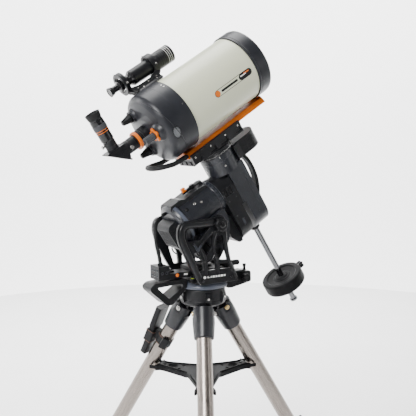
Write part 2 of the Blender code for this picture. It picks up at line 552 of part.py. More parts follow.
# --- optical tube -------------------------------------------------------------------
def tube_pieces():
    """Tube, cells, optics and the dovetail bar."""
    add("optical_tube", along_x(ring(TUBE_R - 0.0020, TUBE_R, TUBE_REAR, TUBE_FRONT, 28)),
        "ivory_paint", "ota")
    front = turned([(FRONT_R - 0.0010, TUBE_FRONT + 0.0005), (FRONT_R, TUBE_FRONT + 0.0015),
                    (FRONT_R, FRONT_END - 0.0020), (FRONT_R - 0.0020, FRONT_END), (0.1045, FRONT_END),
                    (0.1015, 0.2560), (0.1015, 0.2542), (0.1065, 0.2542), (0.1065, TUBE_FRONT + 0.0005)], 28)
    add("front_cell", along_x(front), "charcoal_paint", "ota")
    add("corrector_plate", along_x(ring(0.0310, 0.1060, 0.2486, 0.2538, 28)), "glass", "ota")
    holder = turned([(0.0, 0.2350), (0.0330, 0.2350), (0.0350, 0.2370), (0.0350, 0.2482), (0.0305, 0.2482),
                     (0.0305, 0.2542), (0.0350, 0.2542), (0.0340, 0.2640), (0.0300, 0.2655), (0.0, 0.2655)])
    add("secondary_mirror_holder", along_x(holder), "black_plastic", "ota")
    add("primary_mirror", along_x(ring(0.0225, 0.1015, -0.1190, -0.0970)), "mirror", "mirror")
    baffle = turned([(0.0165, -0.1695), (0.0340, -0.1695), (0.0340, -0.1640), (0.0190, -0.1600),
                     (0.0190, 0.0900), (0.0165, 0.0900)])
    add("baffle_tube", along_x(baffle), "black_paint", "ota")
    cell = turned([(CELL_R - 0.0010, TUBE_REAR - 0.0005), (CELL_R, TUBE_REAR - 0.0015), (CELL_R, CELL_SHOULDER),
                   (0.1150, -0.1610), (0.1080, -0.1690), (0.0850, -0.1745), (0.0520, -0.1785),
                   (0.0240, CELL_BACK), (0.0165, CELL_BACK), (0.0165, -0.1720), (0.0800, -0.1680),
                   (0.0980, -0.1640), (0.1090, -0.1520), (0.1090, TUBE_REAR - 0.0005)], 28)
    pods = [moved(along_x(turned([(0.0, POD_BACK), (0.0185, POD_BACK), (0.0230, -0.1700), (0.0, -0.1700)],
                                 SMALL_ROUND)), at(0.0, *place)) for place in KNOB_PLACES.values()]
    add("rear_cell", combined(along_x(cell), pods), "charcoal_paint", "ota")
    bar = [(-0.0500, -0.1362), (0.0500, -0.1362), (0.0408, -0.1182), (-0.0408, -0.1182)]
    stop = moved(rod(0.0050, -0.1480, -0.1300, 16), at(0.1780, 0.0, 0.0))
    add("dovetail_bar", combined(cross_slab(bar, -0.1190, 0.2330), [stop]), "orange_anodised", "ota")
    side = [(-0.1300, -0.1225), (-0.1600, -0.1220), (-0.1860, -0.1150), (-0.2100, -0.1060)]
    across = [0.0450, 0.0450, 0.0440, 0.0390]
    path = [(x, -y, z) for (x, z), y in zip(side, across)]
    path += [(-0.2250, -0.0220, -0.1000), (-0.2290, 0.0, -0.0985), (-0.2250, 0.0220, -0.1000)]
    path += [(x, y, z) for (x, z), y in reversed(list(zip(side, across)))]
    add("tube_carry_handle", swept(path, 0.0085), "black_plastic", "ota")


def back_knobs():
    """The focus knob and the two knobs that lock the primary mirror."""
    focus = turned([(0.0, -0.2290), (0.0105, -0.2290), (0.0120, -0.2270), (0.0120, -0.1925),
                    (0.0225, -0.1915), (0.0235, -0.1905), (0.0235, -0.1865), (0.0225, -0.1850),
                    (0.0, -0.1850)])
    add("focus_knob", along_x(focus), "grey_plastic", "focus_knob")
    lock = [(0.0, -0.2200), (0.0080, -0.2200), (0.0095, -0.2180), (0.0120, -0.2000), (0.0150, -0.1880),
            (0.0150, -0.1845), (0.0, -0.1845)]
    for place in ("upper", "lower"):
        add("mirror_lock_" + place, along_x(turned(lock, 12)), "grey_plastic", "mirror_lock_" + place)


def visual_pieces():
    """Visual back, locking ring, star diagonal and eyepiece."""
    back = turned([(0.0163, -0.2270), (0.0225, -0.2270), (0.0225, -0.2030), (0.0300, -0.2025),
                   (0.0300, -0.1830), (0.0290, -0.1815), (0.0163, -0.1815)])
    add("visual_back", along_x(back), "black_paint", "ota")
    lock = ring(0.0229, 0.0300, -0.2255, -0.2030)
    add("locking_ring", along_x(lock), "orange_anodised", "locking_ring")
    barrel = along_x(turned([(0.0, -0.2900), (0.0225, -0.2900), (0.0225, -0.2290), (0.0205, -0.2275),
                             (0.0158, -0.2275), (0.0158, -0.1900), (0.0, -0.1900)]))
    prism_case = side_slab([(-0.2680, -0.0230), (-0.2680, 0.0220), (-0.3320, 0.0220), (-0.3350, 0.0180),
                            (-0.2770, -0.0345), (-0.2700, -0.0330)][::-1], -0.0225, 0.0225)
    holder = moved(rod(0.0190, 0.0150, 0.0520, ROUND, 0.001), at(EYEPIECE_U, 0.0, 0.0))
    bore = moved(rod(0.0162, 0.0120, 0.1, ROUND), at(EYEPIECE_U, 0.0, 0.0))
    screws = [moved(along_x(rod(0.0035, -0.034, -0.015, 12)), at(EYEPIECE_U, 0.0, 0.043))]
    add("star_diagonal", combined(barrel, [prism_case, holder] + screws, [bore]), "black_plastic", "diagonal")
    eyepiece = turned([(0.0, 0.0150), (0.0157, 0.0150), (0.0157, 0.0525), (0.0190, 0.0525), (0.0205, 0.0560),
                       (0.0205, 0.0700), (0.0220, 0.0760), (0.0220, 0.1200), (0.0205, 0.1280),
                       (0.0240, 0.1480), (0.0200, 0.1480), (0.0160, 0.1360), (0.0, 0.1360)])
    add("eyepiece", moved(eyepiece, at(EYEPIECE_U, 0.0, 0.0)), "black_plastic", "diagonal", OTA)


def finder_pieces():
    """The finder scope in its two-ring bracket, on the shoe that ties it to the tube."""
    shoe = box((-0.1000, -0.0050), (-0.0180, 0.0180), (0.1182, 0.1350), 0.002)
    post = box((-0.1280, 0.0080), (-0.0080, 0.0080), (0.1330, 0.1500), 0.001)
    rings = [moved(along_x(ring(0.0290, 0.0370, low, high, 18)), at(0, 0, FINDER_R))
             for low, high in ((-0.1280, -0.0980), (-0.0220, 0.0080))]
    add("finder_bracket", combined(shoe, [post] + rings), "black_paint", "ota", FINDER)
    scope = turned([(0.0, -0.1720), (0.0150, -0.1760), (0.0160, -0.1740), (0.0110, -0.1600), (0.0110, -0.1420),
                    (0.0150, -0.1380), (0.0180, -0.1250), (0.0180, -0.0960), (0.0260, -0.0860),
                    (0.0260, 0.0110), (0.0300, 0.0150), (0.0300, 0.0810), (0.0270, 0.0810),
                    (0.0270, 0.0650), (0.0, 0.0650)], 18)
    add("finder_scope", moved(along_x(scope), at(0, 0, FINDER_R)), "black_paint", "ota", FINDER)


def cable_conduit():
    """The ribbed conduit from the port box to the back of the polar housing."""
    route = [(-0.1660, 0.1655), (-0.1670, 0.1900), (-0.1710, 0.2300), (-0.1750, 0.2650), (-0.1760, 0.2950),
             (-0.1680, 0.3180), (-0.1500, 0.3270), (-0.1400, 0.3275)]
    add("cable_conduit", swept([(x, 0.0, z) for x, z in route], 0.0060, 10), "black_rubber", "azimuth")


# --- bodies, each on its joint's axis -----------------------------------------------
body("tripod", HEAD)
body("spreader", HEAD, "tripod")
body("spreader_nut", HEAD @ at(0.0, 0.0, TRAY_Z - 0.0350), "spreader")
for leg_name, leg_azimuth in LEG_AZIMUTHS.items():
    body("leg_" + leg_name, leg_frame(leg_azimuth), "tripod")
    body("leg_extension_" + leg_name, leg_frame(leg_azimuth), "leg_" + leg_name)
body("azimuth", HEAD, "tripod")
for knob_side in KNOB_SIDES:
    body("azimuth_knob_" + knob_side, HEAD @ at(AZIMUTH_SCREWS[0], 0.0, AZIMUTH_SCREWS[1]), "azimuth")
body("altitude_adjuster", HEAD @ at(0.0, 0.0, ADJUSTER_Z), "azimuth")
body("altitude", ALTITUDE, "azimuth")
body("ra_clutch", POLAR @ at(CLUTCH_X, 0.0, 0.0), "altitude")
body("ra", POLAR, "altitude")
body("counterweight", POLAR, "ra")
body("counterweight_knob", POLAR @ at(0.0, 0.0, (WEIGHT_TOP + WEIGHT_BOTTOM) / 2), "counterweight")
body("dec", POLAR, "ra")
for knob_index, knob_u in enumerate(SADDLE_KNOBS):
    body("saddle_knob_%d" % (knob_index + 1), OTA @ at(knob_u, 0.0, SADDLE_KNOB_Z), "dec")
body("ota", OTA, "dec")
for ota_part in ("mirror", "locking_ring", "diagonal"):
    body(ota_part, OTA, "ota")
for knob_name, knob_place in (("focus_knob", "focus"), ("mirror_lock_upper", "upper"),
                              ("mirror_lock_lower", "lower")):
    body(knob_name, OTA @ at(0.0, *KNOB_PLACES[knob_place]), "ota")

tripod_head()
spreader()
for leg_name, leg_azimuth in LEG_AZIMUTHS.items():
    leg(leg_name, leg_azimuth)
hand_control()
azimuth_base()
side_plate("east", 1)
side_plate("west", -1)
base_fittings()
ra_pieces()
dec_pieces()
dec_axis_pieces()
tube_pieces()
back_knobs()
visual_pieces()
finder_pieces()
cable_conduit()
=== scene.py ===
"""Looks of the Schmidt-Cassegrain telescope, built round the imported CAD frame. Metres."""
import json
import math

import bmesh
import bpy
from mathutils import Matrix, Vector


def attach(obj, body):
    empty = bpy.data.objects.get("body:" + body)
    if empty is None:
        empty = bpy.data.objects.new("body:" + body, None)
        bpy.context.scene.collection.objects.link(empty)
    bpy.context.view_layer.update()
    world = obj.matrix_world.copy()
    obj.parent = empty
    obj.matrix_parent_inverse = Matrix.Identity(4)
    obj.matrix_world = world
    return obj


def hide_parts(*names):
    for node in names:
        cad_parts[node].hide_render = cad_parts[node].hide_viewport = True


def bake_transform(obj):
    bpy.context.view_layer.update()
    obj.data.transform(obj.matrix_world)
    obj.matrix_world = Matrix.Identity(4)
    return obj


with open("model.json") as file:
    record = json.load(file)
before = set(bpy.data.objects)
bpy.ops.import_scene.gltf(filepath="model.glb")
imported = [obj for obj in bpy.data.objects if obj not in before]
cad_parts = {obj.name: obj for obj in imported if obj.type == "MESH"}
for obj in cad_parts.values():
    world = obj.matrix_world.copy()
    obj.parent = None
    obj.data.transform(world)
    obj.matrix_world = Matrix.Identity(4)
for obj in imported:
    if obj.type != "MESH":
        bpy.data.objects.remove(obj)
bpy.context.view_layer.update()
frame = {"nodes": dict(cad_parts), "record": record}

JOINTS = {joint["name"]: joint for joint in frame["record"]["behaviour"]["joints"]}


def axes_at(point, x_axis, z_axis):
    """A frame with its X along x_axis and its Z along z_axis."""
    x_axis, z_axis = Vector(x_axis).normalized(), Vector(z_axis).normalized()
    y_axis = z_axis.cross(x_axis)
    matrix = Matrix((x_axis, y_axis, z_axis)).transposed().to_4x4()
    matrix.translation = Vector(point)
    return matrix


def at(x, y, z):
    return Matrix.Translation((x, y, z))


def turn(degrees, axis):
    return Matrix.Rotation(math.radians(degrees), 4, axis)


LEG_TOP_OVER_HEAD = 0.0016  # leg pivots over the plane that HEAD stands on
MAIN_AXIS = Vector(JOINTS["azimuth_turn"]["pos_m"])
PIVOT_Z = JOINTS["leg_fold_north"]["pos_m"][2]
HEAD = at(MAIN_AXIS.x, MAIN_AXIS.y, PIVOT_Z - LEG_TOP_OVER_HEAD)
POLAR = axes_at(JOINTS["ra_turn"]["pos_m"], JOINTS["ra_turn"]["axis"], JOINTS["dec_turn"]["axis"])
OTA = axes_at(JOINTS["diagonal_turn"]["pos_m"], JOINTS["ra_turn"]["axis"], JOINTS["dec_turn"]["axis"])
FINDER = OTA @ turn(-35.2, "X")
WORLD = Matrix()
LEGS = {}
for leg_name in ("north", "east", "west"):
    fold, extend = JOINTS["leg_fold_" + leg_name], JOINTS["leg_extend_" + leg_name]
    up = -Vector(extend["axis"])
    LEGS[leg_name] = axes_at(fold["pos_m"], Vector(fold["axis"]).cross(up), up)

# --- mesh tools ---------------------------------------------------------------------


def rounded(points, radius, steps=3):
    """The outline with its corners cut to arcs. A point with a third value keeps that radius."""
    result = []
    count = len(points)
    for index, point in enumerate(points):
        here = Vector(point[:2])
        size = point[2] if len(point) > 2 else radius
        if size <= 0.0:
            result.append(tuple(here))
            continue
        back, ahead = Vector(points[index - 1][:2]) - here, Vector(points[(index + 1) % count][:2]) - here
        reach = min(size, back.length * 0.48, ahead.length * 0.48)
        if reach < 1e-6 or abs(back.normalized().cross(ahead.normalized())) < 0.05:
            result.append(tuple(here))
            continue
        start, end = here + back.normalized() * reach, here + ahead.normalized() * reach
        for step in range(steps + 1):
            t = step / steps
            result.append(tuple(start * (1 - t) ** 2 + here * 2 * t * (1 - t) + end * t ** 2))
    return result


def fluted(count, depth, low, high, least=0.0, power=2):
    """A form with count hollows round the part between low and high."""
    def form(radius, height, angle):
        if low <= height <= high and radius > least:
            return radius - depth * (0.5 + 0.5 * math.cos(count * angle)) ** power
        return radius
    return form


def sided(most, count=6):
    """A form that makes everything within radius most a prism."""
    def form(radius, height, angle):
        if radius > most:
            return radius
        step = 2.0 * math.pi / count
        return radius * math.cos(step / 2) / math.cos(angle % step - step / 2)
    return form


def turned(profile, sides=96, soft=0.0006, form=None):
    """A closed (radius, height) loop turned about Z, with corners softened by soft."""
    loop = [(r, z, 0.0) if r == 0.0 else (r, z) for r, z in profile]
    points = rounded(loop, soft, 2) if soft else loop
    shape = bmesh.new()
    rings = []
    for radius, height in [point[:2] for point in points]:
        if radius <= 1e-7:
            rings.append([shape.verts.new((0.0, 0.0, height))])
            continue
        ring = []
        for step in range(sides):
            angle = 2.0 * math.pi * step / sides
            reach = form(radius, height, angle) if form else radius
            ring.append(shape.verts.new((reach * math.cos(angle), reach * math.sin(angle), height)))
        rings.append(ring)
    for lower, upper in zip(rings, rings[1:] + rings[:1]):
        if len(lower) == 1 and len(upper) == 1:
            continue
        for step in range(sides):
            ahead = (step + 1) % sides
            if len(lower) == 1:
                shape.faces.new((lower[0], upper[step], upper[ahead]))
            elif len(upper) == 1:
                shape.faces.new((lower[step], lower[ahead], upper[0]))
            else:
                shape.faces.new((lower[step], lower[ahead], upper[ahead], upper[step]))
    bmesh.ops.recalc_face_normals(shape, faces=shape.faces)
    return shape


def rod(radius, low, high, sides=32, soft=0.0006):
    return turned([(0.0, low), (radius, low), (radius, high), (0.0, high)], sides, soft)


def ring(inner, outer, low, high, sides=96, soft=0.0005):
    return turned([(inner, low), (outer, low), (outer, high), (inner, high)], sides, soft)


def slab(outline, low, high):
    shape = bmesh.new()
    face = shape.faces.new([shape.verts.new((x, y, low)) for x, y in outline])
    raised = bmesh.ops.extrude_face_region(shape, geom=[face])
    tops = [item for item in raised["geom"] if isinstance(item, bmesh.types.BMVert)]
    bmesh.ops.translate(shape, verts=tops, vec=(0.0, 0.0, high - low))
    bmesh.ops.recalc_face_normals(shape, faces=shape.faces)
    return shape


def box(x, y, z):
    return slab([(x[0], y[0]), (x[1], y[0]), (x[1], y[1]), (x[0], y[1])], z[0], z[1])


def moved(shape, matrix):
    bmesh.ops.transform(shape, matrix=matrix, verts=shape.verts)
    return shape


def along_x(shape):
    return moved(shape, turn(90, "Y"))


def along_y(shape):
    return moved(shape, turn(-90, "X"))


def side_slab(outline, low, high):
    """An (x, z) outline raised along Y."""
    return moved(slab(outline, -high, -low), turn(90, "X"))


def cross_slab(outline, low, high):
    """A (y, z) outline raised along X."""
    return moved(slab(outline, low, high), Matrix(((0, 0, 1, 0), (1, 0, 0, 0), (0, 1, 0, 0), (0, 0, 0, 1))))


def arc(radius, start, end, steps, centre=(0.0, 0.0)):
    angles = [math.radians(start + (end - start) * step / steps) for step in range(steps + 1)]
    return [(centre[0] + radius * math.cos(a), centre[1] + radius * math.sin(a)) for a in angles]


def smooth_path(points, per=8):
    """A Catmull-Rom curve through the points."""
    points = [Vector(point) for point in points]
    padded = [points[0] * 2 - points[1]] + points + [points[-1] * 2 - points[-2]]
    path = []
    for a, b, c, d in zip(padded, padded[1:], padded[2:], padded[3:]):
        for step in range(per):
            t = step / per
            path.append(0.5 * (
                2 * b + (c - a) * t + (2 * a - 5 * b + 4 * c - d) * t * t + (3 * b - a - 3 * c + d) * t ** 3))
    return path + [points[-1]]


def swept(points, section, up=(0.0, 0.0, 1.0), scale=None, loop=False):
    """A closed (across, up) section swept along points."""
    shape = bmesh.new()
    points = [Vector(point) for point in points]
    count = len(points)
    rings = []
    for index, point in enumerate(points):
        ahead = points[(index + 1) % count] if loop else points[min(index + 1, count - 1)]
        behind = points[index - 1] if loop else points[max(index - 1, 0)]
        along = (ahead - behind).normalized()
        across = along.cross(Vector(up)).normalized()
        lift = across.cross(along)
        size = scale(index / (count - 1)) if scale else 1.0
        rings.append([shape.verts.new(point + (across * a + lift * b) * size) for a, b in section])
    pairs = list(zip(rings, rings[1:])) + ([(rings[-1], rings[0])] if loop else [])
    for lower, upper in pairs:
        for step in range(len(section)):
            ahead = (step + 1) % len(section)
            shape.faces.new((lower[step], lower[ahead], upper[ahead], upper[step]))
    if not loop:
        shape.faces.new(rings[0][::-1])
        shape.faces.new(rings[-1])
    bmesh.ops.recalc_face_normals(shape, faces=shape.faces)
    return shape


def to_mesh(name, shape):
    mesh = bpy.data.meshes.new(name)
    shape.to_mesh(mesh)
    shape.free()
    return mesh


def finished(name, shape, finish):
    """A smooth mesh with its finish. Its points keep their first places for the finish to use."""
    mesh = to_mesh(name, shape)
    local = mesh.attributes.new("local", "FLOAT_VECTOR", "POINT")
    coordinates = [0.0] * (3 * len(mesh.vertices))
    mesh.vertices.foreach_get("co", coordinates)
    local.data.foreach_set("vector", coordinates)
    mesh.shade_smooth()
    mesh.materials.append(finish)
    return mesh


def linked(name, data):
    made = bpy.data.objects.new(name, data)
    bpy.context.collection.objects.link(made)
    return made


def combined(base, added=(), removed=()):
    """Boolean unions and cuts of shapes in one frame."""
    body = linked("work_body", to_mesh("work_body", base))
    tools = []
    for operation, shape in [("UNION", s) for s in added] + [("DIFFERENCE", s) for s in removed]:
        tool = linked("work_tool", to_mesh("work_tool", shape))
        change = body.modifiers.new(operation.lower(), "BOOLEAN")
        change.operation = operation
        change.object = tool
        tools.append(tool)
    bpy.context.view_layer.update()
    shape = bmesh.new()
    shape.from_mesh(body.evaluated_get(bpy.context.evaluated_depsgraph_get()).to_mesh())
    for item in tools + [body]:
        mesh = item.data
        bpy.data.objects.remove(item, do_unlink=True)
        bpy.data.meshes.remove(mesh)
    bmesh.ops.remove_doubles(shape, verts=shape.verts, dist=0.00001)
    bmesh.ops.dissolve_degenerate(shape, edges=shape.edges, dist=0.00001)
    return shape


def gathered(shapes):
    """Separate shapes kept as one piece."""
    whole = bmesh.new()
    for shape in shapes:
        part = to_mesh("part", shape)
        whole.from_mesh(part)
        bpy.data.meshes.remove(part)
    return whole


# --- materials ----------------------------------------------------------------------


def surface(name, colour, roughness, metallic=0.0, tint=0.15, patch=18.0, grain=900.0, bump=0.06,
        stretch=(1.0, 1.0, 1.0), spread=0.08, **sockets):
    """A finish with soft colour patches, grain in its roughness and a fine relief."""
    made = bpy.data.materials.new(name)
    made.use_nodes = True
    nodes, links = made.node_tree.nodes, made.node_tree.links
    shader = nodes["Principled BSDF"]
    shader.inputs["Metallic"].default_value = metallic
    for socket, value in sockets.items():
        shader.inputs[socket.replace("_", " ")].default_value = value
    place = nodes.new("ShaderNodeAttribute")
    place.attribute_name = "local"
    mapping = nodes.new("ShaderNodeMapping")
    mapping.inputs["Scale"].default_value = stretch
    links.new(place.outputs["Vector"], mapping.inputs["Vector"])

    def noise(scale, detail):
        node = nodes.new("ShaderNodeTexNoise")
        node.inputs["Scale"].default_value = scale
        node.inputs["Detail"].default_value = detail
        links.new(mapping.outputs["Vector"], node.inputs["Vector"])
        return node.outputs["Fac"]

    ramp = nodes.new("ShaderNodeValToRGB")
    ramp.color_ramp.elements[0].position = 0.35
    ramp.color_ramp.elements[1].position = 0.68
    ramp.color_ramp.elements[0].color = (*[c * (1.0 - tint) for c in colour], 1.0)
    ramp.color_ramp.elements[1].color = (*[min(1.0, c * (1.0 + tint)) for c in colour], 1.0)
    links.new(noise(patch, 4.0), ramp.inputs["Fac"])
    links.new(ramp.outputs["Color"], shader.inputs["Base Color"])
    rough = nodes.new("ShaderNodeMapRange")
    rough.inputs["To Min"].default_value = roughness - spread
    rough.inputs["To Max"].default_value = roughness + spread
    fine = noise(grain, 3.0)
    links.new(fine, rough.inputs["Value"])
    links.new(rough.outputs["Result"], shader.inputs["Roughness"])
    relief = nodes.new("ShaderNodeBump")
    relief.inputs["Strength"].default_value = bump
    relief.inputs["Distance"].default_value = 0.0004
    links.new(fine, relief.inputs["Height"])
    links.new(relief.outputs["Normal"], shader.inputs["Normal"])
    return made


MATERIALS = {
    "black_paint": surface("black_powder_coat", (0.0048, 0.005, 0.0062), 0.33, tint=0.25, grain=1500,
        bump=0.16, Specular_IOR_Level=0.3),
    "barrel_satin": surface("satin_blue_black", (0.01, 0.0112, 0.015), 0.3, tint=0.15, grain=1800, bump=0.1,
        Specular_IOR_Level=0.5),
    "rim_grey": surface("dark_grey_casting", (0.022, 0.025, 0.032), 0.34, tint=0.12, grain=1400, bump=0.12,
        Specular_IOR_Level=0.45),
    # rim_bright is a lighter blue-grey copy of the dark casting paint: painted highlight for the light caught
    # on the edges of dark rims.
    "rim_bright": surface("blue_grey_casting", (0.062, 0.07, 0.092), 0.3, tint=0.1, grain=1400, bump=0.12),
    "charcoal_paint": surface("charcoal_paint", (0.0118, 0.0126, 0.0162), 0.36, tint=0.12, grain=1800,
        bump=0.18, Specular_IOR_Level=0.32),
    "ivory_paint": surface("ivory_enamel", (0.52, 0.535, 0.4), 0.34, tint=0.02, patch=6, grain=700, bump=0.03,
        spread=0.04, Coat_Weight=0.1, Coat_Roughness=0.2),
    "orange_anodised": surface("orange_anodised", (0.56, 0.118, 0.001), 0.38, tint=0.08, grain=1200,
        bump=0.08, Specular_IOR_Level=0.35),
    "steel": surface("brushed_leg_steel", (0.25, 0.22, 0.198), 0.27, metallic=1.0, tint=0.06, patch=60,
        grain=500, bump=0.1, stretch=(1.0, 1.0, 0.02), spread=0.08, Anisotropic=0.6),
    "chrome": surface("chrome_plate", (0.19, 0.19, 0.2), 0.12, metallic=1.0, tint=0.02, grain=400, bump=0.01,
        spread=0.03),
    "bright_screw": surface("zinc_screw", (0.5, 0.49, 0.47), 0.26, metallic=1.0, tint=0.08, grain=1500,
        bump=0.05),
    "brass": surface("brass_bolt", (0.62, 0.46, 0.22), 0.28, metallic=1.0, tint=0.08, grain=1200, bump=0.05),
    "black_screw": surface("black_oxide_screw", (0.012, 0.012, 0.014), 0.3, tint=0.2, grain=1500, bump=0.08),
    "grey_plastic": surface("grey_moulding", (0.0085, 0.009, 0.0102), 0.42, tint=0.1, grain=2200, bump=0.22,
        Specular_IOR_Level=0.22),
    "black_plastic": surface("black_moulding", (0.0046, 0.0048, 0.0056), 0.42, tint=0.2, grain=2200,
        bump=0.22, Specular_IOR_Level=0.2),
    "tray_plastic": surface("tray_moulding", (0.004, 0.0042, 0.0048), 0.6, tint=0.2, grain=1600, bump=0.3,
        Specular_IOR_Level=0.12),
    "vent_grey": surface("vent_mesh_grey", (0.2, 0.21, 0.22), 0.5, tint=0.08, grain=2200, bump=0.1),
    "sleeve_satin": surface("leg_sleeve_moulding", (0.01, 0.0104, 0.0132), 0.32, tint=0.12, grain=2000,
        bump=0.18, Specular_IOR_Level=0.4),
    "gloss_black": surface("gloss_black", (0.004, 0.004, 0.0048), 0.13, tint=0.2, grain=900, bump=0.02,
        spread=0.03),
    "black_rubber": surface("black_rubber", (0.006, 0.0062, 0.0068), 0.58, tint=0.15, grain=2500, bump=0.3,
        Specular_IOR_Level=0.25),
    "grey_rubber": surface("grey_grip_rubber", (0.03, 0.031, 0.035), 0.5, tint=0.1, grain=2500, bump=0.28),
    "cast_iron": surface("counterweight_paint", (0.0034, 0.0034, 0.004), 0.5, tint=0.15, grain=1100,
        bump=0.35, Specular_IOR_Level=0.1),
    "mirror": surface("mirror_coating", (0.9, 0.91, 0.92), 0.03, metallic=1.0, tint=0.01, bump=0.0,
        spread=0.01),
    "white_mark": surface("white_print", (0.72, 0.72, 0.7), 0.4, tint=0.03, grain=1500, bump=0.05),
    "trim": surface("tan_stitching", (0.15, 0.07, 0.04), 0.6, tint=0.15, grain=1500, bump=0.3),
    "bubble": surface("bubble_vial", (0.45, 0.6, 0.05), 0.12, tint=0.1, patch=90, bump=0.02, spread=0.04),
    "glass": surface("coated_glass", (0.86, 0.95, 0.9), 0.03, tint=0.02, bump=0.0, spread=0.01,
        Transmission_Weight=0.9, IOR=1.5),
}


def piece(name, shape, finish, body, frame_matrix=WORLD, node=None, edge=0.0006, sharp=34.0):
    """A named piece on a body, standing for a CAD node if one is given."""
    mesh = finished(name, shape, MATERIALS[finish])
    mesh.transform(frame_matrix)
    mesh.set_sharp_from_angle(angle=math.radians(sharp))
    made = linked(name, mesh)
    if edge:
        bevel = made.modifiers.new("edges", "BEVEL")
        bevel.width = edge
        bevel.segments = 2
        bevel.limit_method = "ANGLE"
        bevel.angle_limit = math.radians(sharp)
        bevel.use_clamp_overlap = True
        bevel.miter_outer = "MITER_ARC"
        weighted = made.modifiers.new("normals", "WEIGHTED_NORMAL")
        weighted.keep_sharp = True
    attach(made, body)
    if node:
        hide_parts(*([node] if isinstance(node, str) else node))


def facing(point, direction):
    """A frame at point with its Z along direction."""
    matrix = Vector(direction).to_track_quat("Z", "Y").to_matrix().to_4x4()
    matrix.translation = Vector(point)
    return matrix


def about(axis_x, degrees, radius):
    """A frame on a cylinder about X, with Z outwards. 0 degrees is +Y, 90 degrees is +Z."""
    angle = math.radians(degrees)
    out = Vector((0.0, math.cos(angle), math.sin(angle)))
    return facing(Vector((axis_x, 0.0, 0.0)) + out * radius, out)


def screw(radius, height):
    """A screw head on z = 0 with a hexagon socket."""
    inner = radius * 0.55
    return turned([(0.0, -0.001), (radius, -0.001), (radius, height), (inner, height), (inner, height * 0.25),
        (0.0, height * 0.25)], 48, radius * 0.1, sided(inner * 1.1))


def screws(name, places, radius, height, finish, body, frame_matrix):
    heads = [moved(screw(radius, height), place) for place in places]
    piece(name, gathered(heads), finish, body, frame_matrix, edge=0.0)


def wrapped(outline, radius, thick, lift=0.0001):
    """A (u, arc length) outline bent round a cylinder about X, whose middle faces -Y."""
    shape = slab(outline, 0.0, thick)
    low, high = min(p[1] for p in outline), max(p[1] for p in outline)
    for step in range(1, 24):
        cut = low + (high - low) * step / 24
        bmesh.ops.bisect_plane(shape, geom=shape.verts[:] + shape.edges[:] + shape.faces[:],
            plane_co=(0, cut, 0), plane_no=(0, 1, 0))
    for vert in shape.verts:
        angle, reach = vert.co.y / radius, radius + lift + vert.co.z
        vert.co = Vector((vert.co.x, -reach * math.cos(angle), reach * math.sin(angle)))
    bmesh.ops.recalc_face_normals(shape, faces=shape.faces)
    return shape


def capsule(low, high, middle, half):
    """A stadium outline along the first axis."""
    return arc(half, -90, 90, 12, (high - half, middle)) + arc(half, 90, 270, 12, (low + half, middle))


# --- optical tube -------------------------------------------------------------------
TUBE_R = 0.112
CELL_R = 0.1175
KNOBS = {name: (-0.07 * math.cos(math.radians(angle)), -0.07 * math.sin(math.radians(angle))) for name,
    angle in (("focus", 0.0), ("upper", 240.0), ("lower", 120.0))}


def tube():
    piece("tube_barrel",
        along_x(turned([(0.11, -0.0635), (TUBE_R, -0.0635), (TUBE_R, 0.215), (0.11, 0.215)], 160)),
        "ivory_paint", "ota", OTA, "optical_tube")
    seam = wrapped([(-0.063, -0.0012), (0.2145, -0.0012), (0.2145, 0.0012), (-0.063, 0.0012)], TUBE_R, 0.0001)
    piece("tube_seam", moved(seam, turn(150, "X")), "ivory_paint", "ota", OTA, edge=0)
    tilt = turn(-2, "X")
    line = capsule(0.037, 0.198, -0.004, 0.0112)
    hole = capsule(0.0386, 0.1964, -0.004, 0.0096)
    band = combined(slab(line, 0.0, 0.0002), (), [slab(hole, -0.001, 0.001)])
    for step in range(1, 12):
        bmesh.ops.bisect_plane(band, geom=band.verts[:] + band.edges[:] + band.faces[:],
            plane_co=(0, -0.0155 + 0.0019 * step, 0), plane_no=(0, 1, 0))
    for vert in band.verts:
        angle, reach = vert.co.y / TUBE_R, TUBE_R + 0.0001 + vert.co.z
        vert.co = Vector((vert.co.x, -reach * math.cos(angle), reach * math.sin(angle)))
    piece("label_outline", moved(band, tilt), "black_plastic", "ota", OTA, edge=0)
    marks = {
        "label_disc": (capsule(0.0388, 0.058, -0.004, 0.0094), "orange_anodised"),
        "label_capsule": (capsule(0.142, 0.1964, -0.004, 0.0096), "black_plastic"),
        "label_bar": (capsule(0.064, 0.136, -0.004, 0.0036), "black_plastic"),
        "label_dash": (capsule(0.149, 0.174, -0.0015, 0.0016), "white_mark"),
        "label_dash_orange": (capsule(0.164, 0.188, 0.001, 0.0018), "orange_anodised"),
    }
    for name, (outline, finish) in marks.items():
        lift = 0.0004 if "dash" in name else 0.0001
        piece(name, moved(wrapped(outline, TUBE_R, 0.0002, lift), tilt), finish, "ota", OTA, edge=0)


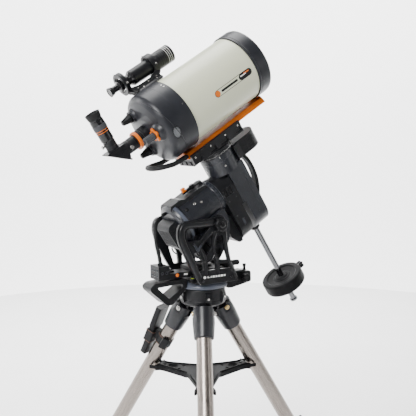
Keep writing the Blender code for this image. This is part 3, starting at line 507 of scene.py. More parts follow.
def front_end():
    rim = turned([(0.1065, 0.2155), (0.1153, 0.2155), (0.1164, 0.2166), (0.1164, 0.2228), (0.1157, 0.2234),
        (0.1157, 0.2244), (0.1164, 0.225), (0.1164, 0.259), (0.1152, 0.265), (0.113, 0.2669),
        (0.1045, 0.2669), (0.1035, 0.2655), (0.1015, 0.256), (0.1015, 0.2542), (0.1065, 0.2542)], 160)
    piece("front_ring", along_x(rim), "charcoal_paint", "ota", OTA, "front_cell")
    screws("front_ring_screws", [about(0.231, angle, 0.116) for angle in (-150, -90, -30, 30, 90, 150)],
        0.0022, 0.0004, "black_screw", "ota", OTA)
    screws("retainer_screws", [facing((0.2664, 0.1088 * math.cos(a), 0.1088 * math.sin(a)), (1, 0, 0))
        for a in [math.radians(30 + 60 * step) for step in range(6)]], 0.002, 0.0004, "bright_screw", "ota",
        OTA)
    piece("corrector_glass", along_x(ring(0.0312, 0.106, 0.2486, 0.2538, 128)), "glass", "ota", OTA,
        "corrector_plate")
    holder = turned([(0.0, 0.235), (0.033, 0.235), (0.035, 0.237), (0.035, 0.2482), (0.0305, 0.2482),
        (0.0305, 0.2542), (0.035, 0.2542), (0.035, 0.26), (0.0335, 0.264), (0.024, 0.2655), (0.0225, 0.2635),
        (0.0, 0.2635)], 96, form=fluted(36, 0.0006, 0.2543, 0.2605, 0.0335))
    piece("secondary_cell", along_x(holder), "black_plastic", "ota", OTA, "secondary_mirror_holder")
    piece("secondary_cap_ring", along_x(ring(0.0195, 0.0225, 0.263, 0.265)), "orange_anodised", "ota", OTA)
    screws("collimation_screws", [facing((0.2634, 0.013 * math.cos(a), 0.013 * math.sin(a)), (1, 0, 0))
        for a in [math.radians(90 + 120 * step) for step in range(3)]], 0.0028, 0.0014, "bright_screw", "ota",
        OTA)
    piece("main_mirror", along_x(turned([(0.0225, -0.119), (0.1, -0.119), (0.1015, -0.1175), (0.1015, -0.097),
        (0.06, -0.0995), (0.0225, -0.1008)], 128)), "mirror", "mirror", OTA, "primary_mirror")
    ridges = [(0.0165, -0.1695), (0.034, -0.1695), (0.034, -0.164), (0.019, -0.16)]
    for step in range(24):
        start = -0.15 + 0.01 * step
        ridges += [(0.019, start), (0.0184, start + 0.001), (0.0184, start + 0.004), (0.019, start + 0.005)]
    piece("baffle_tube_ribbed", along_x(turned(ridges + [(0.019, 0.09), (0.0165, 0.09)], 64, 0.0002)),
        "black_paint", "ota", OTA, "baffle_tube")


def back_casting():
    """The rear cell with its two lock pods, focus boss, vents and curved step."""
    profile = [(0.1155, -0.064), (CELL_R, -0.0655), (CELL_R, -0.105), (0.1172, -0.106), (CELL_R, -0.107)]
    profile += [(CELL_R, -0.13)]
    profile += [(0.0925 + 0.025 * math.cos(a), -0.144 - 0.0255 * math.sin(a))
        for a in [math.radians(10 * step) for step in range(1, 9)]]
    profile += [(0.078, -0.174), (0.052, -0.1785), (0.038, -0.18), (0.024, -0.181), (0.0165, -0.181),
        (0.0165, -0.172), (0.08, -0.167), (0.096, -0.16), (0.109, -0.14), (0.109, -0.064)]
    cell = along_x(turned(profile, 160, 0.0004))
    pods = []
    for name, (y, z) in KNOBS.items():
        wide = 0.027 if name == "focus" else 0.0225
        pods.append(moved(along_x(turned(
            [(0.0, -0.184), (wide * 0.82, -0.184), (wide, -0.179), (wide * 1.25, -0.165), (0.0, -0.16)], 64,
            0.002)), at(0, y, z)))
    vents = []
    for side in (1, -1):
        mouth = turned([(0.0, -0.006), (0.018, -0.006), (0.0205, 0.008), (0.0, 0.008)], 64, 0)
        bmesh.ops.scale(mouth, vec=(1.0, 0.66, 1.0), verts=mouth.verts)
        vents.append(moved(mouth, vent_place(side)))
    piece("back_casting", combined(cell, pods, vents), "charcoal_paint", "ota", OTA, "rear_cell", edge=0.0008)
    for side, name in ((1, "near"), (-1, "far")):
        lip = turned(
            [(0.018, -0.0024), (0.0206, -0.0024), (0.0212, 0.0006), (0.0196, 0.0014), (0.018, 0.0004)], 80,
            0.0003)
        bmesh.ops.scale(lip, vec=(1.0, 0.66, 1.0), verts=lip.verts)
        piece("vent_rim_" + name, moved(lip, vent_place(side)), "grey_plastic", "ota", OTA)
        wires = []
        for step in range(-9, 10):
            spot = step * 0.0019
            half = math.sqrt(max(0.0, 1 - (spot / 0.0184) ** 2))
            wires.append(
                box((spot - 0.00035, spot + 0.00035), (-half * 0.0121, half * 0.0121), (-0.003, -0.0022)))
            if abs(spot) < 0.0118:
                half = 0.0183 * math.sqrt(1 - (spot / 0.0121) ** 2)
                wires.append(box((-half, half), (spot - 0.00035, spot + 0.00035), (-0.0028, -0.002)))
        piece("vent_mesh_" + name, moved(gathered(wires), vent_place(side)), "vent_grey", "ota", OTA, edge=0)
    screws("cell_screws", [about(-0.076, angle, 0.1174) for angle in (112, 118, 62, -118, -62, 160, 20)],
        0.0018, 0.0003, "bright_screw", "ota", OTA)
    step_line = smooth_path([(-0.136 - 0.03 * math.sin(math.radians(a)),
        -0.1128 * math.cos(math.radians(a - 8)), 0.1128 * math.sin(math.radians(a - 8)))
        for a in range(-55, 76, 10)], 4)
    step_line = [(point - Vector((point.x, 0, 0))).normalized() * cell_radius(point.x)
        + Vector((point.x, 0, 0)) for point in step_line]
    piece("cell_step",
        swept(step_line, [(0.0011, 0.0), (0.0, 0.0011), (-0.0011, 0.0), (0.0, -0.0011)], up=(1.0, 0.0, 0.0)),
        "charcoal_paint", "ota", OTA, edge=0)


def cell_radius(u):
    """Outer radius of the rear cell at u."""
    if u >= -0.144:
        return CELL_R
    drop = min(1.0, (-0.144 - u) / 0.0255)
    return 0.0925 + 0.025 * math.sqrt(1.0 - drop * drop)


def vent_place(side):
    """The near vent sits on the shoulder below the middle, the far one across from it."""
    u = -0.14
    angle = math.radians(180 + 10) if side > 0 else math.radians(-10)
    out = Vector((0.0, math.cos(angle), math.sin(angle)))
    normal = (out + Vector((-0.1, 0, 0))).normalized()
    place = facing(Vector((u, 0, 0)) + out * (cell_radius(u) - 0.0002), normal)
    return place @ turn(90, "Z")


def back_fittings():
    lobes = turned([(0.0, -0.229), (0.0105, -0.229), (0.012, -0.2275), (0.012, -0.1925), (0.0, -0.1925)], 96,
        0.0008, fluted(12, 0.0016, -0.228, -0.195, 0.01))
    focus = OTA @ at(0.0, *KNOBS["focus"])
    piece("focus_grip", along_x(lobes), "grey_rubber", "focus_knob", focus, "focus_knob")
    piece("focus_cap", along_x(turned([(0.0, -0.229), (0.008, -0.229), (0.008, -0.227), (0.0, -0.227)], 48)),
        "grey_plastic", "focus_knob", focus)
    collar = turned([(0.0121, -0.1915), (0.0225, -0.1915), (0.0235, -0.1905), (0.0235, -0.1865),
        (0.0225, -0.185), (0.0121, -0.185)], 120, 0.0005, fluted(5, 0.0075, -0.192, -0.184, 0.018, 1))
    piece("focus_collar", along_x(collar), "orange_anodised", "focus_knob", focus)
    lock = turned([(0.0, -0.22), (0.007, -0.22), (0.009, -0.218), (0.0108, -0.208), (0.015, -0.19),
        (0.015, -0.1845), (0.0, -0.1845)], 96, 0.001, fluted(8, 0.0026, -0.219, -0.192, 0.006))
    for name in ("upper", "lower"):
        piece("lock_grip_" + name, along_x(lock.copy()), "black_plastic", "mirror_lock_" + name,
            OTA @ at(0.0, *KNOBS[name]), "mirror_lock_" + name)
        collar = ring(0.0158, 0.0205, -0.1856, -0.1836, 64)
        piece("lock_seat_" + name, moved(along_x(collar), at(0, *KNOBS[name])), "charcoal_paint", "ota", OTA)
    lock.free()
    back = turned([(0.0163, -0.227), (0.0225, -0.227), (0.0225, -0.203), (0.029, -0.2028), (0.03, -0.2015),
        (0.03, -0.1955), (0.029, -0.1945), (0.029, -0.193), (0.03, -0.192), (0.03, -0.183), (0.029, -0.1815),
        (0.0163, -0.1815)], 120, 0.0004, fluted(30, 0.0009, -0.2022, -0.195, 0.028))
    piece("visual_back_body", along_x(back), "black_paint", "ota", OTA, "visual_back")
    lock_ring = turned([(0.0229, -0.2255), (0.0292, -0.2255), (0.03, -0.2245), (0.03, -0.2165),
        (0.0292, -0.2155), (0.0229, -0.2155)], 180, 0.0004, fluted(60, 0.0007, -0.224, -0.217, 0.028, 1))
    piece("locking_ring_barrel", along_x(turned(
        [(0.0229, -0.215), (0.0284, -0.215), (0.0284, -0.204), (0.0276, -0.2034), (0.0229, -0.2034)], 180,
        0.0004, fluted(40, 0.001, -0.2148, -0.2045, 0.0262, 1))), "black_paint", "locking_ring", OTA)
    piece("locking_ring_knurled", along_x(lock_ring), "orange_anodised", "locking_ring", OTA, "locking_ring")


EYE_U = -0.301


def diagonal_and_eyepiece():
    barrel = along_x(turned([(0.0, -0.288), (0.0225, -0.288), (0.0225, -0.256), (0.0218, -0.2552),
        (0.0218, -0.25), (0.0225, -0.2492), (0.0225, -0.23), (0.0205, -0.2277), (0.0158, -0.2277),
        (0.0158, -0.19), (0.0, -0.19)], 96, 0.0003))
    side = rounded([(-0.269, -0.0215), (-0.269, 0.0215, 0.004), (-0.329, 0.0215, 0.002),
        (-0.331, 0.017, 0.001), (-0.2745, -0.03, 0.001)], 0.002)
    case = side_slab(side[::-1], -0.021, 0.021)
    plate = side_slab(rounded([(-0.335, 0.0185), (-0.333, 0.0215), (-0.329, 0.0205), (-0.2725, -0.029),
        (-0.27, -0.033), (-0.2745, -0.0345)][::-1], 0.0008), -0.0225, 0.0225)
    piece("diagonal_body", combined(barrel, [case]), "black_paint", "diagonal", OTA, "star_diagonal",
        edge=0.0008)
    piece("diagonal_plate", plate, "black_paint", "diagonal", OTA, edge=0.0006)
    holder = turned([(0.0163, 0.016), (0.019, 0.016), (0.019, 0.033), (0.0183, 0.0336), (0.0183, 0.0345),
        (0.019, 0.035), (0.019, 0.05), (0.018, 0.052), (0.0163, 0.052)], 96, 0.0003)
    piece("eyepiece_holder", moved(holder, at(EYE_U, 0, 0)), "black_paint", "diagonal", OTA)
    knurl = [(0.0, 0.0), (0.003, 0.0), (0.003, 0.005), (0.0055, 0.0058), (0.0058, 0.0062), (0.0058, 0.01),
        (0.0052, 0.0106), (0.0, 0.0106)]
    grips = [moved(turned(knurl, 48, 0.0002, fluted(16, 0.0005, 0.006, 0.0102, 0.004, 1)), place)
        for place in (facing((EYE_U - 0.0185, 0, 0.043), (-1, 0, 0.0)),
        facing((-0.256, -0.0215, 0.0), (0, -1, 0)))]
    piece("diagonal_thumbscrews", gathered(grips), "bright_screw", "diagonal", OTA, edge=0)

    eye = at(EYE_U, 0, 0)
    lower = turned([(0.0, 0.03), (0.0157, 0.03), (0.0157, 0.0525), (0.0185, 0.0525), (0.0205, 0.056),
        (0.0205, 0.083), (0.0, 0.083)], 96, 0.0005)
    piece("eyepiece_lower", moved(lower, eye), "gloss_black", "diagonal", OTA, "eyepiece")
    for index, low in enumerate((0.0835, 0.0905)):
        piece("eyepiece_band_%d" % (index + 1), moved(ring(0.015, 0.0213, low, low + 0.0016), eye),
            "orange_anodised", "diagonal", OTA, edge=0)
    piece("eyepiece_waist",
        moved(turned([(0.0, 0.083), (0.0208, 0.0832), (0.0208, 0.0925), (0.0, 0.0925)], 96), eye),
        "gloss_black", "diagonal", OTA)
    grip = turned([(0.0, 0.0922), (0.021, 0.0922), (0.022, 0.0935), (0.022, 0.11), (0.0, 0.11)], 144, 0.0005,
        fluted(48, 0.0005, 0.093, 0.1095, 0.02, 1))
    piece("eyepiece_grip", moved(grip, eye), "grey_rubber", "diagonal", OTA)
    upper = turned(
        [(0.0, 0.1098), (0.0215, 0.1098), (0.0215, 0.1215), (0.0205, 0.125), (0.0205, 0.133), (0.0, 0.133)],
        96, 0.0006)
    piece("eyepiece_upper", moved(upper, eye), "gloss_black", "diagonal", OTA)
    cup = turned([(0.0205, 0.128), (0.022, 0.133), (0.024, 0.147), (0.0236, 0.148), (0.0212, 0.147),
        (0.0175, 0.136), (0.012, 0.1352), (0.0, 0.1345), (0.0, 0.13)], 96, 0.0005)
    piece("eyecup", moved(cup, eye), "black_rubber", "diagonal", OTA)
    piece("eye_lens", moved(
        turned([(0.0, 0.135), (0.0105, 0.135), (0.0105, 0.1356), (0.006, 0.1366), (0.0, 0.137)], 64, 0), eye),
        "glass", "diagonal", OTA, edge=0)


def finder():
    """The straight finder in its two-ring bracket."""
    place = FINDER @ at(0, 0, 0.1823)
    scope = [(0.0, -0.087), (0.026, -0.086), (0.026, 0.011), (0.0285, 0.0118), (0.03, 0.015)]
    for step in range(4):
        low = 0.027 + 0.0075 * step
        scope += [(0.03, low), (0.0292, low + 0.0006), (0.0292, low + 0.0016), (0.03, low + 0.0022)]
    scope += [(0.03, 0.08), (0.0292, 0.081), (0.0276, 0.081), (0.027, 0.08), (0.027, 0.065), (0.0, 0.065)]
    piece("finder_tube", along_x(turned(scope, 120, 0.0004)), "black_paint", "ota", place, "finder_scope")
    for step in range(3):
        piece("finder_cap_line_%d" % (step + 1),
            along_x(ring(0.029, 0.03006, 0.056 + 0.007 * step, 0.0576 + 0.007 * step)), "white_mark", "ota",
            place, edge=0)
    piece("finder_lens", along_x(
        turned([(0.0, 0.065), (0.0268, 0.065), (0.0268, 0.0656), (0.015, 0.068), (0.0, 0.069)], 64, 0)),
        "glass", "ota", place, edge=0)
    rear = turned([(0.0, -0.1745), (0.0135, -0.1745), (0.015, -0.176), (0.016, -0.175), (0.0158, -0.1735),
        (0.0112, -0.16), (0.0112, -0.143), (0.015, -0.1385), (0.0178, -0.137), (0.018, -0.1355),
        (0.018, -0.1255), (0.0168, -0.1248), (0.0168, -0.1225), (0.018, -0.1215), (0.018, -0.096),
        (0.025, -0.0868), (0.0, -0.0868)], 120, 0.0004, fluted(40, 0.0007, -0.1368, -0.1245, 0.017, 1))
    piece("finder_eyepiece", along_x(rear), "gloss_black", "ota", place)
    piece("finder_eyecup", along_x(turned([(0.0112, -0.16), (0.0128, -0.162), (0.016, -0.1755),
        (0.015, -0.1762), (0.0134, -0.1745), (0.0105, -0.162)], 96, 0.0003)), "black_rubber", "ota", place)
    parts = []
    for low, high in ((-0.128, -0.116), (-0.01, 0.008)):
        parts.append(
            along_x(ring(0.03 if low > -0.05 else 0.027, 0.0382, low - 0.0015, high + 0.0015, 96, 0.001)))
        for angle in (90, 210, 330):
            boss = turned(
                [(0.0, 0.0335), (0.0062, 0.0335), (0.0062, 0.0384), (0.0052, 0.0392), (0.0, 0.0392)], 40)
            middle = (low + high) / 2
            parts.append(moved(boss, about(middle, angle, 0.0)))
    arm = side_slab(rounded([(-0.124, -0.033), (-0.096, -0.047), (-0.035, -0.047), (-0.006, -0.033),
        (0.006, -0.033), (0.004, -0.04), (-0.013, -0.052), (-0.108, -0.052), (-0.127, -0.04)][::-1], 0.004),
        -0.0085, 0.0085)
    cheeks = [side_slab(rounded([(-0.124, -0.03), (-0.09, -0.04), (-0.042, -0.04), (-0.006, -0.03),
        (0.004, -0.04), (-0.013, -0.056), (-0.108, -0.056)][::-1], 0.005), side * 0.013 - 0.002,
        side * 0.013 + 0.002) for side in (1, -1)]
    body = combined(parts[0], parts[1:] + [arm] + cheeks)
    piece("finder_rings", body, "black_paint", "ota", place, "finder_bracket", edge=0.0007)
    shoe = cross_slab([(-0.018, 0.1182), (0.018, 0.1182), (0.018, 0.1225), (0.013, 0.13), (0.013, 0.135),
        (-0.013, 0.135), (-0.013, 0.13), (-0.018, 0.1225)], -0.1, -0.005)
    piece("finder_shoe", shoe, "black_paint", "ota", FINDER, edge=0.0009)
    tips = []
    for low, high in ((-0.128, -0.116), (-0.01, 0.008)):
        for angle in (90, 210, 330):
            middle = (low + high) / 2
            tips.append(moved(turned([(0.0, 0.0262), (0.0016, 0.0262), (0.0018, 0.039), (0.003, 0.0395),
                (0.0034, 0.04), (0.0034, 0.044), (0.0028, 0.0448), (0.0, 0.0448)], 40, 0.0003,
                fluted(12, 0.0005, 0.0398, 0.0446, 0.0025, 1)), about(middle, angle, 0.0)))
    piece("finder_screws", gathered(tips), "bright_screw", "ota", place, edge=0)
    screws("finder_arm_screws", [
        facing((x, side * 0.015, -0.048), (0, side, 0)) for x in (-0.098, -0.02, -0.055) for side in (1, -1)],
        0.0022, 0.001, "bright_screw", "ota", place)
    screws("finder_shoe_screws",
        [facing((x, side * 0.015, 0.1275), (0, side, 0.2)) for x in (-0.08, -0.025) for side in (1, -1)],
        0.0022, 0.0012, "bright_screw", "ota", FINDER)


def carry_bars():
    side = [(-0.128, -0.1225), (-0.145, -0.1225), (-0.17, -0.119), (-0.193, -0.1115), (-0.212, -0.105)]
    across = [0.045, 0.045, 0.045, 0.043, 0.037]
    path = [(x, -y, z) for (x, z), y in zip(side, across)]
    path += [(-0.225, -0.024, -0.1), (-0.229, 0.0, -0.0985), (-0.225, 0.024, -0.1)]
    path += [(x, y, z) for (x, z), y in reversed(list(zip(side, across)))]
    section = [(0.0088 * math.cos(a), 0.008 * math.sin(a))
        for a in [math.radians(360 * step / 24) for step in range(24)]]
    piece("tube_handle", swept(smooth_path(path, 8), section), "black_rubber", "ota", OTA,
        "tube_carry_handle", edge=0)
    feet = [
        moved(box((-0.134, -0.116), (-0.009, 0.009), (-0.13, -0.1182)), at(0, y, 0)) for y in (-0.045, 0.045)]
    piece("tube_handle_feet", gathered(feet), "black_plastic", "ota", OTA, edge=0.002)


def dovetail_and_saddle():
    bar = [(-0.05, -0.1362), (0.05, -0.1362), (0.05, -0.1345), (0.0415, -0.1195), (0.0408, -0.1182),
        (-0.0408, -0.1182), (-0.0415, -0.1195), (-0.05, -0.1345)]
    slots = [slab(capsule(low, high, 0.0, 0.005), -0.15, -0.11) for low,
        high in ((-0.108, -0.06), (0.125, 0.165), (0.195, 0.22))]
    piece("dovetail_plate", combined(cross_slab(bar, -0.119, 0.233), (), slots), "orange_anodised", "ota",
        OTA, "dovetail_bar", edge=0.0009)
    hooks = [cross_slab(
        rounded([(-0.04, -0.1182), (0.04, -0.1182), (0.036, -0.113), (-0.036, -0.113)], 0.001), low, high)
        for low, high in ((-0.119, -0.114), (0.228, 0.233))]
    piece("dovetail_end_blocks", gathered(hooks), "orange_anodised", "ota", OTA, edge=0.0006)
    piece("dovetail_stop_screw", moved(screw(0.005, 0.0118), facing((0.178, 0, -0.1362), (0, 0, -1))),
        "bright_screw", "ota", OTA, edge=0)
    channel = [(-0.056, -0.168), (0.056, -0.168), (0.058, -0.1655), (0.058, -0.129), (0.057, -0.128),
        (0.0474, -0.128), (0.0512, -0.1366), (-0.0512, -0.1366), (-0.0474, -0.128), (-0.057, -0.128),
        (-0.058, -0.129), (-0.058, -0.1655)]
    pockets = []
    for side in (1, -1):
        for low, high in ((-0.106, -0.078), (-0.043, -0.015), (0.003, 0.038), (0.072, 0.098)):
            pockets.append(box((low, high), (side * 0.058 - 0.006, side * 0.058 + 0.006), (-0.163, -0.148)))
        pockets.append(moved(box((-0.113, -0.08), (-0.02, 0.02), (-0.01, 0.01)), at(0, side * 0.066, -0.172)))
    piece("saddle_block", combined(cross_slab(channel, -0.112, 0.103), (), pockets), "black_paint", "dec",
        OTA, "saddle", edge=0.0012)
    for index, u in enumerate((-0.06, 0.055)):
        name = "saddle_knob_%d" % (index + 1)
        grip = turned([(0.0, 0.042), (0.005, 0.042), (0.005, 0.0592), (0.0125, 0.06), (0.015, 0.0625),
            (0.015, 0.0785), (0.012, 0.082), (0.0, 0.082)], 96, 0.0012,
            fluted(5, 0.0045, 0.06, 0.0815, 0.01, 1))
        piece(name + "_grip", along_y(grip), "black_plastic", name, OTA @ at(u, 0.0, -0.15), name)
    screws("saddle_screws", [facing((u, side * 0.0578, -0.1405), (0, side, 0))
        for u in (-0.1, -0.032, 0.032, 0.09) for side in (1, -1)], 0.0032, 0.001, "bright_screw", "dec", OTA)
    lip = [box((-0.115, -0.11), (y - 0.008, y + 0.008), (-0.164, -0.15)) for y in (-0.03, 0.0, 0.03)]
    piece("saddle_rear_stops", gathered(lip), "grey_plastic", "dec", OTA, edge=0.001)


tube()
front_end()
back_casting()
back_fittings()
diagonal_and_eyepiece()
finder()
carry_bars()
dovetail_and_saddle()
# --- equatorial head ----------------------------------------------------------------
def stadium(half, top, bottom):
    """A (y, z) outline with a round top or bottom, each as wide as the outline."""
    return arc(half, 0, 180, 32, (0.0, top)) + arc(half, 180, 360, 32, (0.0, bottom))


def polar_head():
    """The nearer arm, which turns on the polar axis."""
    body = cross_slab(stadium(0.057, 0.0, -0.127), -0.077, -0.0235)
    rim = cross_slab(stadium(0.059, 0.0, -0.127), -0.0815, -0.0755)
    step = cross_slab(stadium(0.052, 0.0, -0.127), -0.024, -0.0222)
    cuts = [box((-0.031, 0.1), (-0.1, 0.1), (-0.3, -0.066))]
    for low, high in ((-0.0735, -0.0595), (-0.056, -0.039)):
        cuts += [box((low, high), (side * 0.057 - 0.0018, side * 0.057 + 0.0018), (-0.013, 0.014))
            for side in (1, -1)]
    recess = [(x, z) for z, x in capsule(-0.133, -0.105, 0.0, 0.006)][::-1]
    cuts += [moved(side_slab(recess, side * 0.057 - 0.0015, side * 0.057 + 0.0015), at(-0.054, 0, 0))
        for side in (1, -1)]
    piece("ra_arm", combined(body, [rim, step], cuts), "black_paint", "ra", POLAR, "ra_head", edge=0.0022)
    for side, name in ((-1, "near"), (1, "far")):
        plate = side_slab([(x, z) for z, x in capsule(-0.131, -0.107, 0.0, 0.004)][::-1],
            side * 0.056 - 0.0004, side * 0.056 + 0.0004)
        piece("ra_arm_plate_" + name, moved(plate, at(-0.054, 0, 0)), "rim_grey", "ra", POLAR)
        panes = [box((low + 0.0012, high - 0.0012), (side * 0.0556 - 0.0004, side * 0.0556 + 0.0004),
            (-0.0118, 0.0128)) for low, high in ((-0.0735, -0.0595), (-0.056, -0.039))]
        piece("ra_arm_windows_" + name, gathered(panes), "gloss_black", "ra", POLAR)
    cover = side_slab(rounded([(-0.0815, -0.078), (-0.106, -0.082), (-0.115, -0.092), (-0.115, -0.148),
        (-0.098, -0.18), (-0.0815, -0.182)], 0.004), -0.036, 0.036)
    ribs = [box((-0.1158, -0.114), (y - 0.001, y + 0.001), (-0.144, -0.098))
        for y in [-0.027 + 0.0054 * step for step in range(11)]]
    piece("ra_motor_housing", combined(cover, ribs), "grey_plastic", "ra", POLAR, edge=0.0012)
    piece("ra_front_ring", along_x(ring(0.042, 0.06, -0.0835, -0.0817, 96)), "rim_grey", "altitude", POLAR)
    screws("ra_arm_screws", [facing((x, side * 0.0568, z), (0, side, 0)) for side in (1, -1) for x,
        z in ((-0.037, -0.03), (-0.069, -0.03), (-0.069, -0.088))], 0.003, 0.001, "black_screw", "ra", POLAR)


def declination_body():
    outline = [(0.055, 0.06), (-0.055, 0.06)] + arc(0.055, 180, 360, 40, (0.0, -0.13))
    block = cross_slab(outline, -0.0215, 0.048)
    barrel = turned([(0.0385, 0.05), (0.0595, 0.05), (0.0595, 0.096), (0.0588, 0.0968), (0.0588, 0.099),
        (0.06, 0.1), (0.06, 0.1172), (0.0592, 0.118), (0.0385, 0.118)], 128, 0.0005)
    face = cross_slab([(y * 0.74, -0.035 + (z + 0.035) * 0.8) for y, z in stadium(0.055, 0.0, -0.13)], 0.0465,
        0.06)
    cuts = [box((-0.1, -0.012), (-0.1, 0.1), (-0.3, -0.066)), face, rod(0.0385, 0.06, 0.2, 64, 0)]
    for side in (1, -1):
        pocket = side_slab([(x, z) for z, x in capsule(-0.128, 0.03, 0.0, 0.011)][::-1],
            side * 0.055 - 0.0014, side * 0.055 + 0.0014)
        cuts.append(moved(pocket, at(0.019, 0, 0)))
    latches = [box((0.046, 0.057), (-0.011, 0.011), (low, high)) for low,
        high in ((-0.056, -0.036), (-0.085, -0.074))]
    piece("dec_body", combined(block, [barrel] + latches, cuts), "barrel_satin", "ra", POLAR, "dec_housing",
        edge=0.0022)
    screws("dec_body_screws", [
        facing((0.06 * math.cos(a), 0.06 * math.sin(a), 0.079), (math.cos(a), math.sin(a), 0))
        for a in [math.radians(angle) for angle in (-108, 108, 180, -36, 36)]], 0.0034, 0.0012,
        "bright_screw", "ra", POLAR)
    screws("dec_face_screws",
        [facing((0.0465, y, z), (1, 0, 0)) for y in (-0.03, 0.03) for z in (-0.115, -0.06, 0.0)], 0.0028,
        0.0008, "black_screw", "ra", POLAR)
    scale = []
    for step in range(120):
        long_tick = step % 10 == 0
        tick = box((0.0619, 0.0627), (-0.00022, 0.00022), (0.1215, 0.1258 if long_tick else 0.1236))
        scale.append(moved(tick, turn(3 * step, "Z")))
    piece("dec_scale_ticks", gathered(scale), "white_mark", "dec", POLAR, edge=0)
    disc = turned([(0.0, -0.02), (0.016, -0.02), (0.016, 0.072), (0.037, 0.074), (0.037, 0.089),
        (0.016, 0.091), (0.016, 0.1184), (0.06, 0.1184), (0.0622, 0.12), (0.0622, 0.128), (0.0612, 0.1288),
        (0.0612, 0.13), (0.0625, 0.131), (0.0625, 0.1352), (0.061, 0.1366), (0.0, 0.1366)], 128, 0.0004)
    piece("dec_flange", disc, "black_paint", "dec", POLAR, "dec_shaft")
    piece("dec_index_mark", moved(box((0.0598, 0.0606), (-0.0006, 0.0006), (0.109, 0.1165)), turn(-112, "Z")),
        "white_mark", "ra", POLAR, edge=0)


def declination_motor():
    cover = slab(rounded([(0.03, -0.045, 0), (0.125, -0.045), (0.151, -0.03), (0.163, 0.0, 0.03),
        (0.151, 0.03), (0.125, 0.045), (0.03, 0.045, 0)], 0.014, 6), 0.0605, 0.1175)
    neck = slab([(0.04, -0.056), (0.07, -0.046), (0.07, 0.046), (0.04, 0.056)], 0.064, 0.114)
    ribs = []
    for side in (1, -1):
        for step in range(6):
            x = 0.096 + 0.0055 * step
            ribs.append(moved(rod(0.0012, 0.07, 0.108, 12, 0.0004), at(x, side * 0.0448, 0)))
    piece("dec_motor_shell", combined(cover, [neck] + ribs, [rod(0.0606, 0.0, 0.2, 96, 0)]), "black_plastic",
        "ra", POLAR, "dec_motor_cover", edge=0.005, sharp=50)
    piece("dec_motor_seam", slab(rounded([(0.064, -0.0455), (0.1255, -0.0455), (0.1515, -0.0303),
        (0.1634, 0.0, 0.03), (0.1515, 0.0303), (0.1255, 0.0455), (0.064, 0.0455)], 0.014, 6), 0.0885, 0.0895),
        "gloss_black", "ra", POLAR, edge=0.0002)
    bar = [(0.0485, -0.124), (0.064, -0.112), (0.085, -0.08), (0.0985, -0.042), (0.1025, 0.0),
        (0.0995, 0.032), (0.089, 0.0603), (0.0745, 0.0603), (0.0885, 0.028), (0.0915, 0.0), (0.087, -0.039),
        (0.074, -0.075), (0.058, -0.1), (0.0485, -0.101)]
    grip = side_slab(rounded(bar, 0.016, 4), -0.0125, 0.0125)
    piece("dec_handle", grip, "black_rubber", "ra", POLAR, "dec_carry_handle", edge=0.0034)
    ends = [moved(along_y(turned(
        [(0.0, -0.015), (0.0105, -0.015), (0.012, -0.0135), (0.012, 0.0135), (0.0105, 0.015), (0.0, 0.015)],
        64, 0.001)), at(0.057, 0, -0.113))]
    piece("dec_handle_foot", gathered(ends), "black_plastic", "ra", POLAR)


def balance_weight():
    shaft = turned([(0.0, -0.523), (0.012, -0.523), (0.014, -0.5212), (0.014, -0.5152), (0.01, -0.5148),
        (0.01, -0.19), (0.0088, -0.189), (0.0088, -0.1465), (0.0, -0.1465)], 96, 0.0004)
    piece("weight_shaft", shaft, "chrome", "ra", POLAR, "counterweight_shaft")
    piece("weight_shaft_collar", turned(
        [(0.0102, -0.196), (0.015, -0.196), (0.018, -0.1925), (0.018, -0.1845), (0.0102, -0.1845)], 64,
        0.0006), "black_paint", "ra", POLAR)
    disc = turned([(0.0104, -0.452), (0.066, -0.452), (0.0738, -0.4488), (0.075, -0.446), (0.075, -0.413),
        (0.0738, -0.4092), (0.07, -0.4072), (0.0585, -0.407), (0.056, -0.408), (0.0535, -0.4118),
        (0.032, -0.4135), (0.03, -0.4118), (0.025, -0.4112), (0.0215, -0.4075), (0.015, -0.407),
        (0.0104, -0.407)], 160, 0.0008)
    stem_hole = moved(along_x(rod(0.0052, 0.04, 0.1, 32, 0)), at(0, 0, -0.4295))
    piece("weight_disc", combined(disc, (), [stem_hole]), "cast_iron", "counterweight", POLAR,
        "counterweight")
    clamp = POLAR @ at(0, 0, -0.4295)
    lobes = turned(
        [(0.0, 0.079), (0.0105, 0.079), (0.0135, 0.0812), (0.0135, 0.0955), (0.011, 0.0988), (0.0, 0.099)],
        120, 0.0012, fluted(4, 0.0062, 0.078, 0.0995, 0.009, 1))
    piece("weight_knob_grip", along_x(lobes), "black_plastic", "counterweight_knob", clamp,
        "counterweight_knob")
    piece("weight_knob_stem", along_x(turned(
        [(0.0, 0.045), (0.0046, 0.045), (0.0046, 0.0755), (0.007, 0.076), (0.007, 0.0792), (0.0, 0.0792)],
        48)), "bright_screw", "counterweight_knob", clamp)


